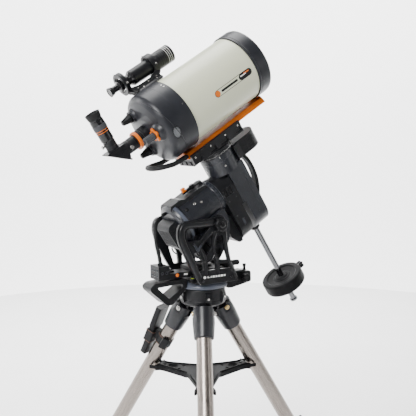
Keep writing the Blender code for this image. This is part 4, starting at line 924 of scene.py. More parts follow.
def polar_housing():
    """The housing of the polar axis, with its cover plate, clutch and motor box."""
    skin = [(0.04, -0.0835), (0.0575, -0.0835), (0.0598, -0.0855), (0.0598, -0.0975), (0.0585, -0.0985),
        (0.0585, -0.1005), (0.0602, -0.102), (0.0655, -0.228), (0.07, -0.233), (0.074, -0.2345),
        (0.074, -0.2475), (0.0715, -0.2535), (0.06, -0.26), (0.04, -0.262), (0.0, -0.262), (0.0, -0.232),
        (0.04, -0.232)]
    body = along_x(turned(skin, 144, 0.0008))
    pivot = POLAR.inverted() @ Vector(JOINTS["altitude_tilt"]["pos_m"])
    lug = moved(along_y(rod(0.021, -0.0755, 0.0755, 64, 0.002)), at(*pivot))
    web = side_slab(rounded([(-0.218, -0.03), (-0.102, -0.03), (-0.1, -0.06), (-0.112, -0.098),
        (-0.142, -0.138), (-0.176, -0.142), (-0.205, -0.118), (-0.218, -0.08)], 0.01), -0.062, 0.062)
    room = along_x(rod(0.04, -0.232, -0.04, 64, 0))
    groove = side_slab(rounded([(-0.198, -0.076), (-0.13, -0.076), (-0.134, -0.096), (-0.15, -0.118),
        (-0.172, -0.122), (-0.193, -0.106)], 0.006), -0.1, -0.057)
    axle = moved(along_y(rod(0.0089, -0.2, 0.2, 48, 0)), at(*pivot))
    piece("ra_barrel", combined(body, [lug, web], [room, axle, groove]), "barrel_satin", "altitude", POLAR,
        "ra_housing", edge=0.0012)
    cradle = rounded([(-0.066, 0.215), (-0.05, 0.186), (-0.01, 0.168), (0.028, 0.172), (0.046, 0.2),
        (0.05, 0.23), (0.048, 0.262), (-0.06, 0.262)], 0.01, 5)
    dents = [side_slab(rounded([(-0.048, 0.206), (-0.006, 0.184), (-0.006, 0.242), (-0.048, 0.242)], 0.005),
        side * 0.06 - 0.004, side * 0.06 + 0.004) for side in (1, -1)]
    dents += [side_slab(rounded([(0.004, 0.184), (0.03, 0.19), (0.038, 0.23), (0.004, 0.242)], 0.005),
        side * 0.06 - 0.004, side * 0.06 + 0.004) for side in (1, -1)]
    piece("ra_cradle", combined(side_slab(cradle, -0.06, 0.06), (), dents), "black_paint", "altitude", HEAD,
        edge=0.0016)
    pads = [moved(box((-0.0965, -0.087), (-0.0036, 0.0036), (0.0592, 0.0609)), turn(angle, "X"))
        for angle in range(0, 360, 15)]
    piece("ra_scale_pads", gathered(pads), "rim_grey", "altitude", POLAR, edge=0.0004)
    # A thin lighter band round the rear rim of the polar barrel: painted highlight for the light line along
    # that edge.
    stripe = turned([(0.0738, -0.247), (0.0744, -0.2468), (0.0744, -0.2352), (0.0738, -0.235)], 144, 0.0001)
    piece("ra_rim_stripe", along_x(stripe), "rim_bright", "altitude", POLAR, edge=0)
    outline = rounded([(-0.256, 0.04), (-0.256, 0.064), (-0.248, 0.075), (-0.205, 0.0735), (-0.196, 0.0655),
        (-0.125, 0.0655), (-0.105, 0.06), (-0.1, 0.04)], 0.005)
    boss = moved(rod(0.024, 0.04, 0.0664, 64, 0.0015), at(-0.135, 0, 0))
    hump = moved(rod(0.017, 0.04, 0.07, 64, 0.005), at(-0.108, 0.012, 0))
    piece("ra_top_cover", combined(side_slab(outline, -0.034, 0.034), [boss, hump]), "grey_plastic",
        "altitude", POLAR, edge=0.0026)
    screws("ra_cover_screws",
        [facing((x, y, 0.0742), (0, 0, 1)) for x in (-0.244, -0.212) for y in (-0.026, 0.026)], 0.0028,
        0.0012, "black_screw", "altitude", POLAR)
    near = [facing((x, side * r * math.cos(a), r * math.sin(a)), (0, side * math.cos(a), math.sin(a)))
        for side in (1, -1) for x, r,
        a in ((-0.178, 0.0634, math.radians(38)), (-0.157, 0.0625, math.radians(30)))]
    screws("ra_barrel_bolts", near, 0.0046, 0.0022, "bright_screw", "altitude", POLAR)
    lock = [moved(turned([(0.0, 0.063), (0.007, 0.063), (0.007, 0.066), (0.0045, 0.0675), (0.0, 0.068)], 32),
        about(-0.213, angle, 0.0)) for angle in (142, 38)]
    piece("ra_latch_buttons", gathered(lock), "black_plastic", "altitude", POLAR, edge=0)
    clutch = POLAR @ at(-0.135, 0, 0)
    arm = combined(rod(0.009, 0.067, 0.08, 48, 0.001), [side_slab(
        rounded([(-0.042, 0.069), (0.0, 0.068), (0.0, 0.078), (-0.042, 0.075)], 0.002), -0.0045, 0.0045)])
    piece("clutch_arm", arm, "black_paint", "ra_clutch", clutch, "ra_clutch_lever")
    grip = slab(rounded([(-0.04, -0.0065), (-0.026, -0.0065), (-0.026, 0.0065), (-0.04, 0.0065)], 0.002),
        0.074, 0.088)
    piece("clutch_grip", grip, "orange_anodised", "ra_clutch", clutch, edge=0.0016)

    box_side = rounded(
        [(-0.2625, 0.03), (-0.29, 0.027), (-0.3, 0.016), (-0.3, -0.05), (-0.288, -0.07), (-0.2625, -0.07)],
        0.005)
    fins = [box((-0.301, -0.299), (y - 0.0012, y + 0.0012), (-0.044, 0.012))
        for y in [-0.033 + 0.006 * step for step in range(12)]]
    for side in (1, -1):
        fins += [box((u - 0.0012, u + 0.0012), (side * 0.04 - 0.001, side * 0.04 + 0.001), (-0.056, 0.018))
            for u in (-0.294, -0.289, -0.284, -0.279, -0.274)]
    piece("ra_motor_box", combined(side_slab(box_side, -0.04, 0.04), fins), "grey_plastic", "altitude", POLAR,
        "ra_rear_cover", edge=0.0012)
    foot = side_slab(rounded([(-0.262, -0.0715), (-0.286, -0.0715), (-0.28, -0.08), (-0.25, -0.096),
        (-0.23, -0.09), (-0.23, -0.068), (-0.25, -0.066)][::-1], 0.004), -0.03, 0.03)
    piece("ra_lower_block", foot, "grey_plastic", "altitude", POLAR, edge=0.002)


# --- fork and base --------------------------------------------------------------------
PLATE_IN, PLATE_OUT = 0.0765, 0.0885
PIVOT = (0.01, 0.295)


def fork(name, side):
    """One cheek of the fork: the plate, its raised ribs and its bracket."""
    low, high = sorted((side * PLATE_IN, side * PLATE_OUT))
    outline = rounded([(-0.06, 0.103), (0.084, 0.103), (0.072, 0.14, 0.02), (0.056, 0.168, 0.02),
        (0.044, 0.22, 0.02), (0.038, 0.275, 0.01)] + [(x, z, 0) for x, z in arc(0.028, 0, 95, 12, PIVOT)]
        + [(-0.015, 0.316), (-0.116, 0.312, 0.02), (-0.133, 0.306, 0.02), (-0.142, 0.292, 0.02),
        (-0.145, 0.268, 0.02), (-0.136, 0.234, 0.02), (-0.098, 0.164, 0.02), (-0.074, 0.124, 0.01)], 0.004, 4)
    windows = [[(-0.102, 0.288), (-0.11, 0.282), (-0.113, 0.266), (-0.106, 0.246), (-0.098, 0.246),
        (-0.08, 0.248), (-0.062, 0.25), (-0.024, 0.288)],
        [(-0.043, 0.241), (-0.056, 0.224), (-0.036, 0.196), (-0.018, 0.222), (-0.013, 0.264)],
        [(0.001, 0.258), (-0.004, 0.218), (0.01, 0.178), (0.044, 0.176), (0.03, 0.218), (0.024, 0.26)],
        [(-0.086, 0.208), (-0.066, 0.148), (-0.048, 0.148), (-0.052, 0.186), (-0.07, 0.212)],
        [(-0.034, 0.148), (0.0, 0.148), (-0.002, 0.17), (-0.018, 0.188), (-0.034, 0.176)],
        [(0.012, 0.148), (0.056, 0.148), (0.05, 0.164), (0.012, 0.166)]]
    cuts = [side_slab(rounded(window, 0.005, 4), low - 0.01, high + 0.01) for window in windows]
    cuts.append(moved(along_y(rod(0.0089, -0.2, 0.2, 48, 0)), at(PIVOT[0], 0.0, PIVOT[1])))
    piece("fork_plate_" + name, combined(side_slab(outline, low, high), (), cuts), "black_paint", "azimuth",
        HEAD, "side_plate_" + name, edge=0.002)

    def rib(points, wide, tall):
        section = [
            (wide * math.cos(a), tall * math.sin(a)) for a in [math.radians(15 * step) for step in range(24)]]
        path = smooth_path([(x, side * (PLATE_OUT - 0.001), z) for x, z in points], 8)
        return swept(path, section, up=(0.0, 1.0, 0.0))

    c_arm = rib([(-0.012, 0.302), (-0.06, 0.301), (-0.11, 0.2995), (-0.125, 0.29), (-0.129, 0.268),
        (-0.12, 0.236), (-0.088, 0.172), (-0.066, 0.125)], 0.01, 0.0062)
    front = rib([(0.032, 0.28), (0.037, 0.22), (0.052, 0.164), (0.076, 0.114)], 0.005, 0.0048)
    truss = [rib([(-0.008, 0.276), (-0.038, 0.254), (-0.066, 0.232)], 0.004, 0.0036),
        rib([(0.002, 0.268), (-0.011, 0.216), (0.004, 0.172), (0.006, 0.13)], 0.004, 0.004),
        rib([(-0.066, 0.23), (-0.044, 0.19), (-0.04, 0.13)], 0.0045, 0.004)]
    piece("fork_ribs_" + name, gathered([c_arm, front] + truss), "black_paint", "azimuth", HEAD, edge=0)
    loop = rib(arc(0.03, 190, 350, 16, (-0.038, 0.206)), 0.0026, 0.0036)
    piece("fork_loop_" + name, loop, "gloss_black", "azimuth", HEAD, edge=0)
    vee = rounded([(-0.088, 0.236), (-0.083, 0.238), (-0.0725, 0.223), (-0.062, 0.236), (-0.057, 0.234),
        (-0.07, 0.212), (-0.075, 0.212)][::-1], 0.0015)
    low, high = sorted((side * PLATE_OUT, side * (PLATE_OUT + 0.005)))
    piece("fork_bracket_" + name, side_slab(vee, low, high), "rim_grey", "azimuth", HEAD, edge=0.0008)
    bolts = [facing((x, side * PLATE_OUT, z), (0, side, 0)) for x,
        z in ((-0.0885, 0.2385), (-0.0565, 0.2365), (-0.03, 0.13), (0.056, 0.12), (-0.052, 0.115))]
    screws("fork_bolts_" + name, bolts, 0.0036, 0.0056, "black_screw", "azimuth", HEAD)
    screws("fork_front_bolts_" + name, [facing((-0.012, side * 0.0945, 0.299), (0, side, 0)),
        facing((-0.018, side * 0.09, 0.27), (0, side, 0))], 0.0018, 0.001, "bright_screw", "azimuth", HEAD)
    band = [moved(along_y(rod(0.0046, 0.0, 0.0008, 40, 0)), at(-0.046, 0, 0.1265))]
    widths = (0.0075, 0.006, 0.0085, 0.006, 0.0075, 0.009, 0.006)
    x = -0.036
    for width in widths:
        band.append(box((x, x + width), (0.0, 0.0008), (0.1235, 0.1295)))
        x += width + 0.003
    if side < 0:
        band = [moved(shape, at(0, -PLATE_OUT - 0.0007, 0)) for shape in band]
    else:
        band = [moved(shape, at(0, PLATE_OUT - 0.0001, 0)) for shape in band]
    piece("fork_marks_" + name, gathered(band), "white_mark", "azimuth", HEAD, edge=0)


def mount_base():
    # The turntable ring takes the lighter rim_bright finish: painted highlight for the bright, lit top rim of
    # a dark disc.
    table = turned([(0.0, 0.0808), (0.08, 0.0808), (0.0825, 0.0835), (0.0815, 0.09), (0.0745, 0.1),
        (0.07, 0.104), (0.0, 0.104)], 160, 0.0008)
    piece("turntable_ring", table, "rim_bright", "azimuth", HEAD, edge=0)
    deck = slab(rounded([(-0.062, -0.066), (-0.05, -0.0762), (0.078, -0.0762), (0.078, 0.0762),
        (-0.05, 0.0762), (-0.062, 0.066)], 0.006), 0.1005, 0.125)
    bulkhead = cross_slab(rounded(
        [(-0.0755, 0.12), (0.0755, 0.12), (0.0755, 0.145), (0.06, 0.16), (-0.06, 0.16), (-0.0755, 0.145)],
        0.004), 0.056, 0.0775)
    beam = side_slab(rounded([(0.07, 0.092), (0.08, 0.085), (0.084, 0.064), (0.102, 0.0625), (0.182, 0.0765),
        (0.182, 0.108), (0.176, 0.115), (0.07, 0.115)], 0.005), -0.022, 0.022)
    pocket = [side_slab(rounded([(0.105, 0.074), (0.165, 0.082), (0.165, 0.106), (0.105, 0.106)], 0.004),
        side * 0.022 - 0.0012, side * 0.022 + 0.0012) for side in (1, -1)]
    holes = [moved(along_x(rod(0.0065, 0.04, 0.09, 32, 0)), at(0, 0, 0.144)),
        moved(along_y(rod(0.0055, -0.03, 0.03, 32, 0)), at(0.15, 0, 0.095))]
    piece("mount_deck", combined(deck, [bulkhead, beam], pocket + holes), "black_paint", "azimuth", HEAD,
        "azimuth_base", edge=0.002)
    inner = slab(rounded([(-0.056, -0.056), (0.05, -0.06), (0.05, 0.06), (-0.056, 0.056)], 0.008), 0.124,
        0.148)
    piece("base_housing", combined(inner, [rod(0.03, 0.14, 0.156, 64, 0.002)]), "black_rubber", "azimuth",
        HEAD, edge=0.0024)
    piece("beam_cap", slab(rounded([(0.095, -0.019), (0.156, -0.019), (0.156, 0.019), (0.095, 0.019)], 0.003),
        0.1148, 0.1185), "grey_plastic", "azimuth", HEAD, edge=0.001)
    stud = turned([(0.0, 0.114), (0.006, 0.114), (0.006, 0.118), (0.0048, 0.119), (0.0048, 0.1275),
        (0.0062, 0.1285), (0.0062, 0.1345), (0.005, 0.136), (0.0, 0.136)], 64, 0.0004,
        fluted(16, 0.0004, 0.1284, 0.1346, 0.005, 1))
    piece("azimuth_stud", moved(stud, at(0.169, 0, 0)), "black_plastic", "azimuth", HEAD, edge=0)
    lock = turned([(0.0, 0.124), (0.006, 0.124), (0.006, 0.129), (0.017, 0.13), (0.0185, 0.1325),
        (0.0185, 0.14), (0.016, 0.1425), (0.006, 0.144), (0.0, 0.144)], 96, 0.001,
        fluted(7, 0.0022, 0.1295, 0.143, 0.014, 1))
    piece("base_lock_knob", moved(lock, at(0.102, 0.048, -0.006)), "black_plastic", "azimuth", HEAD, edge=0)
    piece("base_lock_lug", box((0.07, 0.124), (0.022, 0.07), (0.1, 0.12)), "black_paint", "azimuth", HEAD,
        edge=0.004)
    lens = turned([(0.0, -0.0012), (0.006, -0.0012), (0.006, 0.0), (0.0048, 0.002), (0.0, 0.0028)], 48,
        0.0002)
    piece("power_light", moved(lens, facing((-0.112, -0.0282, 0.1315), (0, -1, 0))), "orange_anodised",
        "azimuth", HEAD, edge=0)
    piece("socket_label", box((-0.088, -0.074), (-0.0286, -0.028), (0.129, 0.1345)), "white_mark", "azimuth",
        HEAD, edge=0.0003)
    piece("level_rim", moved(ring(0.0058, 0.0078, 0.112, 0.12, 64), at(-0.07, -0.052, 0)), "black_plastic",
        "azimuth", HEAD)
    piece("level_shelf", slab(
        rounded([(-0.08, -0.064), (-0.056, -0.064), (-0.056, -0.04), (-0.08, -0.04)], 0.003), 0.106, 0.1125),
        "black_paint", "azimuth", HEAD, edge=0.001)
    piece("level_vial", moved(turned(
        [(0.0, 0.1122), (0.0057, 0.1122), (0.0057, 0.1195), (0.003, 0.1205), (0.0, 0.1207)], 48, 0.0002),
        at(-0.07, -0.052, 0)), "bubble", "azimuth", HEAD, edge=0)
    piece("azimuth_pointer", moved(turned(
        [(0.0, 0.102), (0.002, 0.102), (0.002, 0.111), (0.0034, 0.1115), (0.0034, 0.115), (0.0, 0.1155)], 32,
        0.0002), at(-0.056, -0.08, 0)), "bright_screw", "azimuth", HEAD, edge=0)

    shelf = box((-0.144, -0.0625), (-0.028, 0.028), (0.1215, 0.139))
    tower = box((-0.18, -0.142), (-0.03, 0.03), (0.1205, 0.165))
    sockets = []
    for spot in ((-0.152, 0.143), (-0.168, 0.143)):
        sockets.append(moved(along_y(rod(0.0052, -0.031, -0.027, 40, 0)), at(spot[0], 0, spot[1])))
    sockets += [moved(along_x(rod(0.0046, -0.181, -0.177, 40, 0)), at(0, y, z)) for y in (-0.018, 0.0, 0.018)
        for z in (0.134, 0.151)]
    piece("port_tower", combined(tower, [shelf], sockets), "black_plastic", "azimuth", HEAD, "port_box",
        edge=0.0024)
    rings = [moved(along_x(ring(0.003, 0.0046, -0.1806, -0.178, 40, 0.0002)), at(0, y, z))
        for y in (-0.018, 0.0, 0.018) for z in (0.134, 0.151)]
    rings += [moved(along_y(ring(0.0034, 0.0052, -0.0306, -0.028, 40, 0.0002)), at(x, 0, 0.143))
        for x in (-0.152, -0.168)]
    piece("port_rings", gathered(rings), "rim_grey", "azimuth", HEAD, edge=0)
    piece("port_switch", box((-0.124, -0.114), (-0.01, 0.01), (0.1385, 0.145)), "gloss_black", "azimuth",
        HEAD, edge=0.0012)

    outer = rounded([(-0.0785, 0.086), (-0.0785, 0.118), (-0.198, 0.112), (-0.211, 0.1), (-0.208, 0.088),
        (-0.15, 0.036), (-0.132, 0.036)], 0.01, 5)
    inner = rounded([(-0.094, 0.09), (-0.094, 0.103), (-0.186, 0.098), (-0.144, 0.058)], 0.006, 5)
    piece("rear_handle",
        combined(side_slab(outer[::-1], -0.03, 0.03), (), [side_slab(inner[::-1], -0.1, 0.1)]),
        "black_plastic", "azimuth", HEAD, "rear_carry_handle", edge=0.0036)


def base_controls():
    knob = turned([(0.0, -0.108), (0.018, -0.108), (0.0238, -0.1055), (0.0245, -0.1), (0.0245, -0.095),
        (0.014, -0.0935), (0.012, -0.0893), (0.0085, -0.089), (0.0085, 0.089), (0.012, 0.0893),
        (0.014, 0.0935), (0.0245, 0.095), (0.0245, 0.1), (0.0238, 0.1055), (0.018, 0.108), (0.0, 0.108)], 168,
        0.0008, fluted(7, 0.0032, -0.107, 0.107, 0.018, 1))
    pivot = HEAD @ at(PIVOT[0], 0, PIVOT[1])
    piece("altitude_knobs", along_y(knob), "black_plastic", "azimuth", pivot, "altitude_axle")
    caps = [along_y(turned([(0.0, side * 0.1076), (0.011, side * 0.1076), (0.011, side * 0.1088),
        (0.008, side * 0.1098), (0.0, side * 0.1098)], 48, 0.0002)) for side in (1, -1)]
    piece("altitude_knob_caps", gathered(caps), "gloss_black", "azimuth", pivot, edge=0)
    screw_rod = turned([(0.0, 0.048), (0.006, 0.048), (0.006, 0.102), (0.0095, 0.105), (0.0095, 0.142),
        (0.007, 0.145), (0.0, 0.145)], 96, 0.0006, fluted(8, 0.0018, 0.106, 0.144, 0.008, 1))
    piece("altitude_screw", along_x(screw_rod), "black_plastic", "altitude_adjuster", HEAD @ at(0, 0, 0.144),
        "altitude_adjuster")
    for name, side in (("east", 1), ("west", -1)):
        turner = turned([(0.0, side * 0.014), (0.005, side * 0.014), (0.005, side * 0.0262),
            (0.013, side * 0.028), (0.0152, side * 0.0305), (0.0152, side * 0.046), (0.012, side * 0.049),
            (0.0, side * 0.049)], 112, 0.001,
            fluted(7, 0.0026, min(side * 0.027, side * 0.0485), max(side * 0.027, side * 0.0485), 0.0115, 1))
        piece("azimuth_grip_" + name, along_y(turner), "black_plastic", "azimuth_knob_" + name,
            HEAD @ at(0.15, 0, 0.095), "azimuth_knob_" + name)


def conduit():
    route = [(-0.159, 0.1655), (-0.162, 0.19), (-0.171, 0.23), (-0.175, 0.265), (-0.174, 0.295),
        (-0.166, 0.313), (-0.154, 0.323), (-0.14, 0.329)]
    path = [HEAD @ point for point in smooth_path([(x, 0.0, z) for x, z in route], 28)]
    ribbed = 0.72
    section = [(math.cos(math.radians(20 * step)), math.sin(math.radians(20 * step))) for step in range(18)]

    def girth(t):
        if t > ribbed:
            return 0.0026
        return 0.0072 if int(t * 196) % 4 < 2 else 0.0058

    tube_shape = swept(path, section, up=(0.0, 1.0, 0.0), scale=girth)
    sleeve = linked("cable_sleeve", finished("cable_sleeve", tube_shape, MATERIALS["black_rubber"]))
    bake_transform(sleeve)
    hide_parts("cable_conduit")
    gland = turned([(0.0, 0.1645), (0.0095, 0.1645), (0.0095, 0.169), (0.0072, 0.173), (0.0, 0.173)], 48,
        0.0004, sided(0.0099, 6))
    piece("cable_gland", moved(gland, at(-0.159, 0, 0)), "black_plastic", "azimuth", HEAD, edge=0.0004)
    piece("cable_plug", moved(turned(
        [(0.0, -0.008), (0.005, -0.008), (0.0058, -0.006), (0.0058, 0.006), (0.0048, 0.008), (0.0, 0.008)],
        40, 0.0004), facing((-0.144, 0.0, 0.328), (1.0, 0, 0.35))), "black_plastic", "altitude", HEAD, edge=0)


# --- tripod -------------------------------------------------------------------------
def tripod_top():
    drum = turned([(0.0078, 0.0205), (0.064, 0.02), (0.067, 0.0205), (0.0745, 0.027), (0.0752, 0.03),
        (0.0752, 0.04), (0.0742, 0.0408), (0.0742, 0.0428), (0.0752, 0.0436), (0.0752, 0.076),
        (0.0735, 0.0792), (0.07, 0.08), (0.0078, 0.08)], 144, 0.0005)
    lug = rounded([(0.05, 0.03, 0), (0.056, -0.004)]
        + [(x, z, 0) for x, z in arc(0.0145, 200, 340, 16, (0.074, LEG_TOP_OVER_HEAD))]
        + [(0.0885, 0.01), (0.07, 0.03, 0)], 0.004)
    extras, bolts, nuts = [], [], []
    for azimuth in (0, 120, 240):
        spin = turn(azimuth, "Z")
        extras.append(moved(side_slab(lug, -0.0146, 0.0146), spin))
        place = spin @ at(0.074, 0.0, LEG_TOP_OVER_HEAD)
        bolts.append(moved(along_y(turned([(0.0, -0.0385), (0.006, -0.0385), (0.008, -0.0372),
            (0.0084, -0.0345), (0.0084, -0.0334), (0.005, -0.0334), (0.005, 0.0334), (0.0, 0.0334)], 48,
            0.0003)), place))
        nuts.append(moved(along_y(turned([(0.0, 0.0334), (0.0084, 0.0334), (0.0084, 0.0385), (0.0052, 0.039),
            (0.0046, 0.043), (0.0, 0.043)], 48, 0.0003, sided(0.0088))), place))
    latches = []
    for azimuth in (60, 180, 252, 300):
        spin = turn(azimuth, "Z")
        latches.append(moved(side_slab(
            rounded([(0.07, 0.03), (0.08, 0.034), (0.083, 0.05), (0.08, 0.068), (0.07, 0.072)], 0.003),
            -0.011, 0.011), spin))
    piece("tripod_hub", combined(drum, extras + latches), "black_paint", "tripod", HEAD, "tripod_head",
        edge=0.0014)
    piece("leg_bolts", gathered(bolts), "brass", "tripod", HEAD, edge=0.0004)
    piece("leg_nuts", gathered(nuts), "bright_screw", "tripod", HEAD, edge=0.0004)
    screws("hub_screws", [moved_place for azimuth in (60, 180, 252, 300)
        for moved_place in [turn(azimuth, "Z") @ facing((0.0826, 0, 0.05), (1, 0, 0))]], 0.0042, 0.0014,
        "bright_screw", "tripod", HEAD)
    thread = [(0.0, -0.373), (0.0066, -0.373)]
    for step in range(88):
        low = -0.3715 + 0.002 * step
        thread += [(0.0064, low), (0.0072, low + 0.001)]
    piece("centre_screw", turned(thread + [(0.0072, -0.193), (0.0072, 0.0785), (0.0, 0.0785)], 48, 0),
        "steel", "tripod", HEAD, "centre_rod", edge=0)


def tray():
    top, thick = -0.216, 0.01
    arm = [(0.148, -0.0235, 0.02), (0.178, -0.034, 0.006), (0.196, -0.0345), (0.196, -0.0275),
        (0.1775, -0.0275), (0.1775, 0.0275), (0.196, 0.0275), (0.196, 0.0345), (0.178, 0.034, 0.006),
        (0.148, 0.0235, 0.02)]
    outline = []
    for azimuth in (0, 120, 240):
        spin = turn(azimuth, "Z").to_2x2()
        outline += [(*(spin @ Vector(point[:2])), point[2] if len(point) > 2 else 0.002) for point in arm]
        outline.append((*(turn(azimuth + 60, "Z").to_2x2() @ Vector((0.062, 0.0))), 0.02))
    plate = slab(rounded(outline, 0.002, 5), top - thick, top)
    hub = turned([(0.0078, top - 0.034), (0.018, top - 0.034), (0.021, top - 0.032), (0.048, top - 0.008),
        (0.048, top - 0.002), (0.0078, top - 0.002)], 96, 0.001)
    holes, lips = [rod(0.0078, top - 0.05, top + 0.01, 48, 0)], []
    for azimuth in (0, 120, 240):
        spin = turn(azimuth, "Z")
        holes.append(moved(rod(0.0166, top - 0.03, top + 0.02, 64, 0), spin @ at(0.12, 0, 0)))
        holes += [moved(rod(0.0056, top - 0.03, top + 0.02, 40, 0), spin @ at(x, y, 0)) for x,
            y in ((0.086, 0.016), (0.086, -0.016), (0.153, 0.0))]
        lips.append(moved(ring(0.0167, 0.019, top - 0.0005, top + 0.0016, 64), spin @ at(0.12, 0, 0)))
        for side in (1, -1):
            wall = [(0.04, side * 0.044), (0.148, side * 0.0205), (0.175, side * 0.029)]
            lips.append(moved(swept(smooth_path([(x, y, top - thick - 0.003) for x, y in wall], 8),
                [(-0.0011, -0.004), (0.0011, -0.004), (0.0011, 0.0175), (-0.0011, 0.0175)]), spin))
        lips.append(moved(side_slab([(0.03, top - 0.011), (0.03, top - 0.03), (0.07, top - 0.02),
            (0.17, top - 0.015), (0.17, top - 0.011)][::-1], -0.002, 0.002), spin))
    piece("spreader_plate", combined(plate, [hub] + lips, holes), "tray_plastic", "spreader", HEAD,
        "spreader_tray", edge=0.0012)
    knob = turned(
        [(0.0078, -0.023), (0.017, -0.023), (0.021, -0.0195), (0.021, -0.0065), (0.012, 0.0), (0.0078, 0.0)],
        120, 0.001, fluted(5, 0.006, -0.0225, -0.003, 0.014, 1))
    piece("spreader_knob", knob, "black_plastic", "spreader_nut", HEAD @ at(0, 0, top - 0.035),
        "spreader_nut")


def leg(name):
    place, owner = LEGS[name], "leg_" + name
    sleeve = turned([(0.0, 0.016), (0.035, 0.016), (0.0365, 0.0145), (0.0365, -0.033), (0.0352, -0.048),
        (0.033, -0.077), (0.0322, -0.0825), (0.0312, -0.084), (0.0258, -0.084), (0.0258, -0.045),
        (0.0, -0.045)], 144, 0.001)
    cuts = [box((-0.06, 0.02), (-0.06, 0.06), (0.0095, 0.04)), along_y(rod(0.0055, -0.05, 0.05, 32, 0)),
        box((-0.06, 0.018), (-0.015, 0.015), (-0.0175, 0.04))]
    cuts += [box((-0.014, 0.014), (low, low + 0.02), (-0.014, 0.04)) for low in (-0.0534, 0.0334)]
    piece("sleeve_" + name, combined(sleeve, (), cuts), "sleeve_satin", owner, place, "leg_sleeve_" + name,
        edge=0.0016)
    piece("upper_tube_" + name, ring(0.0236, 0.0254, -0.6, -0.046, 128, 0.0004), "steel", owner, place,
        "leg_tube_" + name)
    collar = turned([(0.0236, -0.616), (0.03, -0.616), (0.0325, -0.6135), (0.0325, -0.6), (0.0318, -0.599),
        (0.0318, -0.595), (0.0325, -0.594), (0.0325, -0.581), (0.0306, -0.578), (0.0258, -0.578),
        (0.0258, -0.6005), (0.0236, -0.6005)], 112, 0.0006)
    lug = box((0.024, 0.038), (-0.011, 0.011), (-0.611, -0.583))
    core = rod(0.024, -0.63, -0.6, 48, 0)
    piece("clamp_" + name, combined(collar, [lug], [core, rod(0.0256, -0.6004, -0.57, 64, 0)]),
        "black_plastic", owner, place, "leg_clamp_" + name, edge=0.0014)
    grip = turned([(0.0, 0.037), (0.005, 0.037), (0.005, 0.04), (0.011, 0.0405), (0.0118, 0.0415),
        (0.0118, 0.0525), (0.0105, 0.054), (0.0, 0.054)], 96, 0.0008,
        fluted(6, 0.0026, 0.0404, 0.0535, 0.0095, 1))
    piece("clamp_knob_" + name, moved(along_x(grip), at(0, 0, -0.597)), "black_plastic", owner, place, edge=0)
    inner = 0.0254 - 0.0018 - 0.0004
    lower = ring(inner - 0.0018, inner, -0.699, -0.2, 112, 0.0003)
    foot_z = -0.702
    foot = turned([(0.0, -0.684), (inner + 0.0001, -0.683), (0.025, -0.669), (0.027, -0.671), (0.027, foot_z)]
        + [(r, foot_z + z) for r, z in arc(0.027, -8, -82, 10)] + [(0.0, foot_z - 0.027)], 96, 0)
    ground = moved(box((-2.0, 2.0), (-2.0, 2.0), (-1.0, 0.0)), place.inverted())
    extension = "leg_extension_" + name
    piece("lower_tube_" + name, lower, "steel", extension, place, "leg_lower_" + name)
    piece("foot_" + name, combined(foot, (), [ground]), "black_rubber", extension, place, edge=0.001)


def hand_controller():
    """The hand control in its strap holder on the outside of one leg."""
    leg_place = LEGS["east"]
    place = leg_place @ at(0.053, 0, -0.145) @ turn(8, "Y")
    grip = slab(rounded([(-0.0115, -0.025), (0.0115, -0.0215), (0.0125, 0.0, 0.01), (0.0115, 0.0215),
        (-0.0115, 0.025), (-0.0125, 0.0, 0.01)], 0.006, 4), -0.092, 0.024)
    head = slab(rounded([(-0.0118, -0.032), (0.0105, -0.03), (0.0125, 0.0, 0.02), (0.0105, 0.03),
        (-0.0118, 0.032), (-0.0125, 0.0, 0.01)], 0.007, 4), 0.016, 0.092)
    piece("hand_unit", combined(grip, [head]), "black_plastic", "leg_east", place, "hand_control", edge=0.004)
    piece("hand_screen", box((0.0112, 0.0124), (-0.02, 0.02), (0.056, 0.078)), "gloss_black", "leg_east",
        place, edge=0.0006)
    keys = []
    for row in range(7):
        for column in (-1, 0, 1):
            keys.append(moved(along_x(turned(
                [(0.0, 0.01), (0.004, 0.01), (0.004, 0.013), (0.0032, 0.0138), (0.0, 0.014)], 32, 0.0003)),
                at(0, column * 0.0115, 0.042 - 0.0165 * row)))
    piece("hand_keys", gathered(keys), "grey_rubber", "leg_east", place, edge=0)
    cradle_out = rounded(
        [(-0.0165, -0.03), (0.0155, -0.027), (0.017, 0.0, 0.01), (0.0155, 0.027), (-0.0165, 0.03)], 0.006, 4)
    cradle_in = rounded(
        [(-0.0126, -0.0262), (0.0124, -0.0228), (0.0128, 0.0, 0.01), (0.0124, 0.0228), (-0.0126, 0.0262)],
        0.004, 4)
    piece("hand_cradle", combined(slab(cradle_out, -0.042, 0.0), (), [slab(cradle_in, -0.1, 0.1)]),
        "black_rubber", "leg_east", place, edge=0.001)
    edges = []
    for z in (-0.04, -0.0016):
        path = [(x, y, z) for x, y in rounded(
            [(-0.017, -0.0304), (0.0159, -0.0274), (0.0174, 0.0, 0.01), (0.0159, 0.0274), (-0.017, 0.0304)],
            0.006, 4)]
        edges.append(swept(path, [(0.0006, 0), (0, 0.0006), (-0.0006, 0), (0, -0.0006)], loop=True))
    piece("cradle_stitching", gathered(edges), "trim", "leg_east", place, edge=0)
    strap = [ring(0.0256, 0.0285, -0.164, -0.132, 96, 0.0006),
        box((0.025, 0.04), (-0.013, 0.013), (-0.164, -0.132))]
    piece("hand_strap", combined(strap[0], [strap[1]], [rod(0.0256, -0.3, 0.1, 96, 0)]), "black_rubber",
        "leg_east", leg_place, edge=0.0006)
    piece("strap_stitching",
        gathered([ring(0.028, 0.0289, z - 0.0006, z + 0.0006, 96, 0.0002) for z in (-0.1625, -0.1335)]),
        "trim", "leg_east", leg_place, edge=0)
    piece("strap_buckle", moved(box((-0.037, -0.027), (-0.013, 0.013), (-0.169, -0.127)), turn(-60, "Z")),
        "black_plastic", "leg_east", leg_place, edge=0.003)


polar_head()
declination_body()
declination_motor()
balance_weight()
polar_housing()
fork("east", 1)
fork("west", -1)
mount_base()
base_controls()
conduit()
tripod_top()
tray()
for leg_name in LEGS:
    leg(leg_name)
hand_controller()

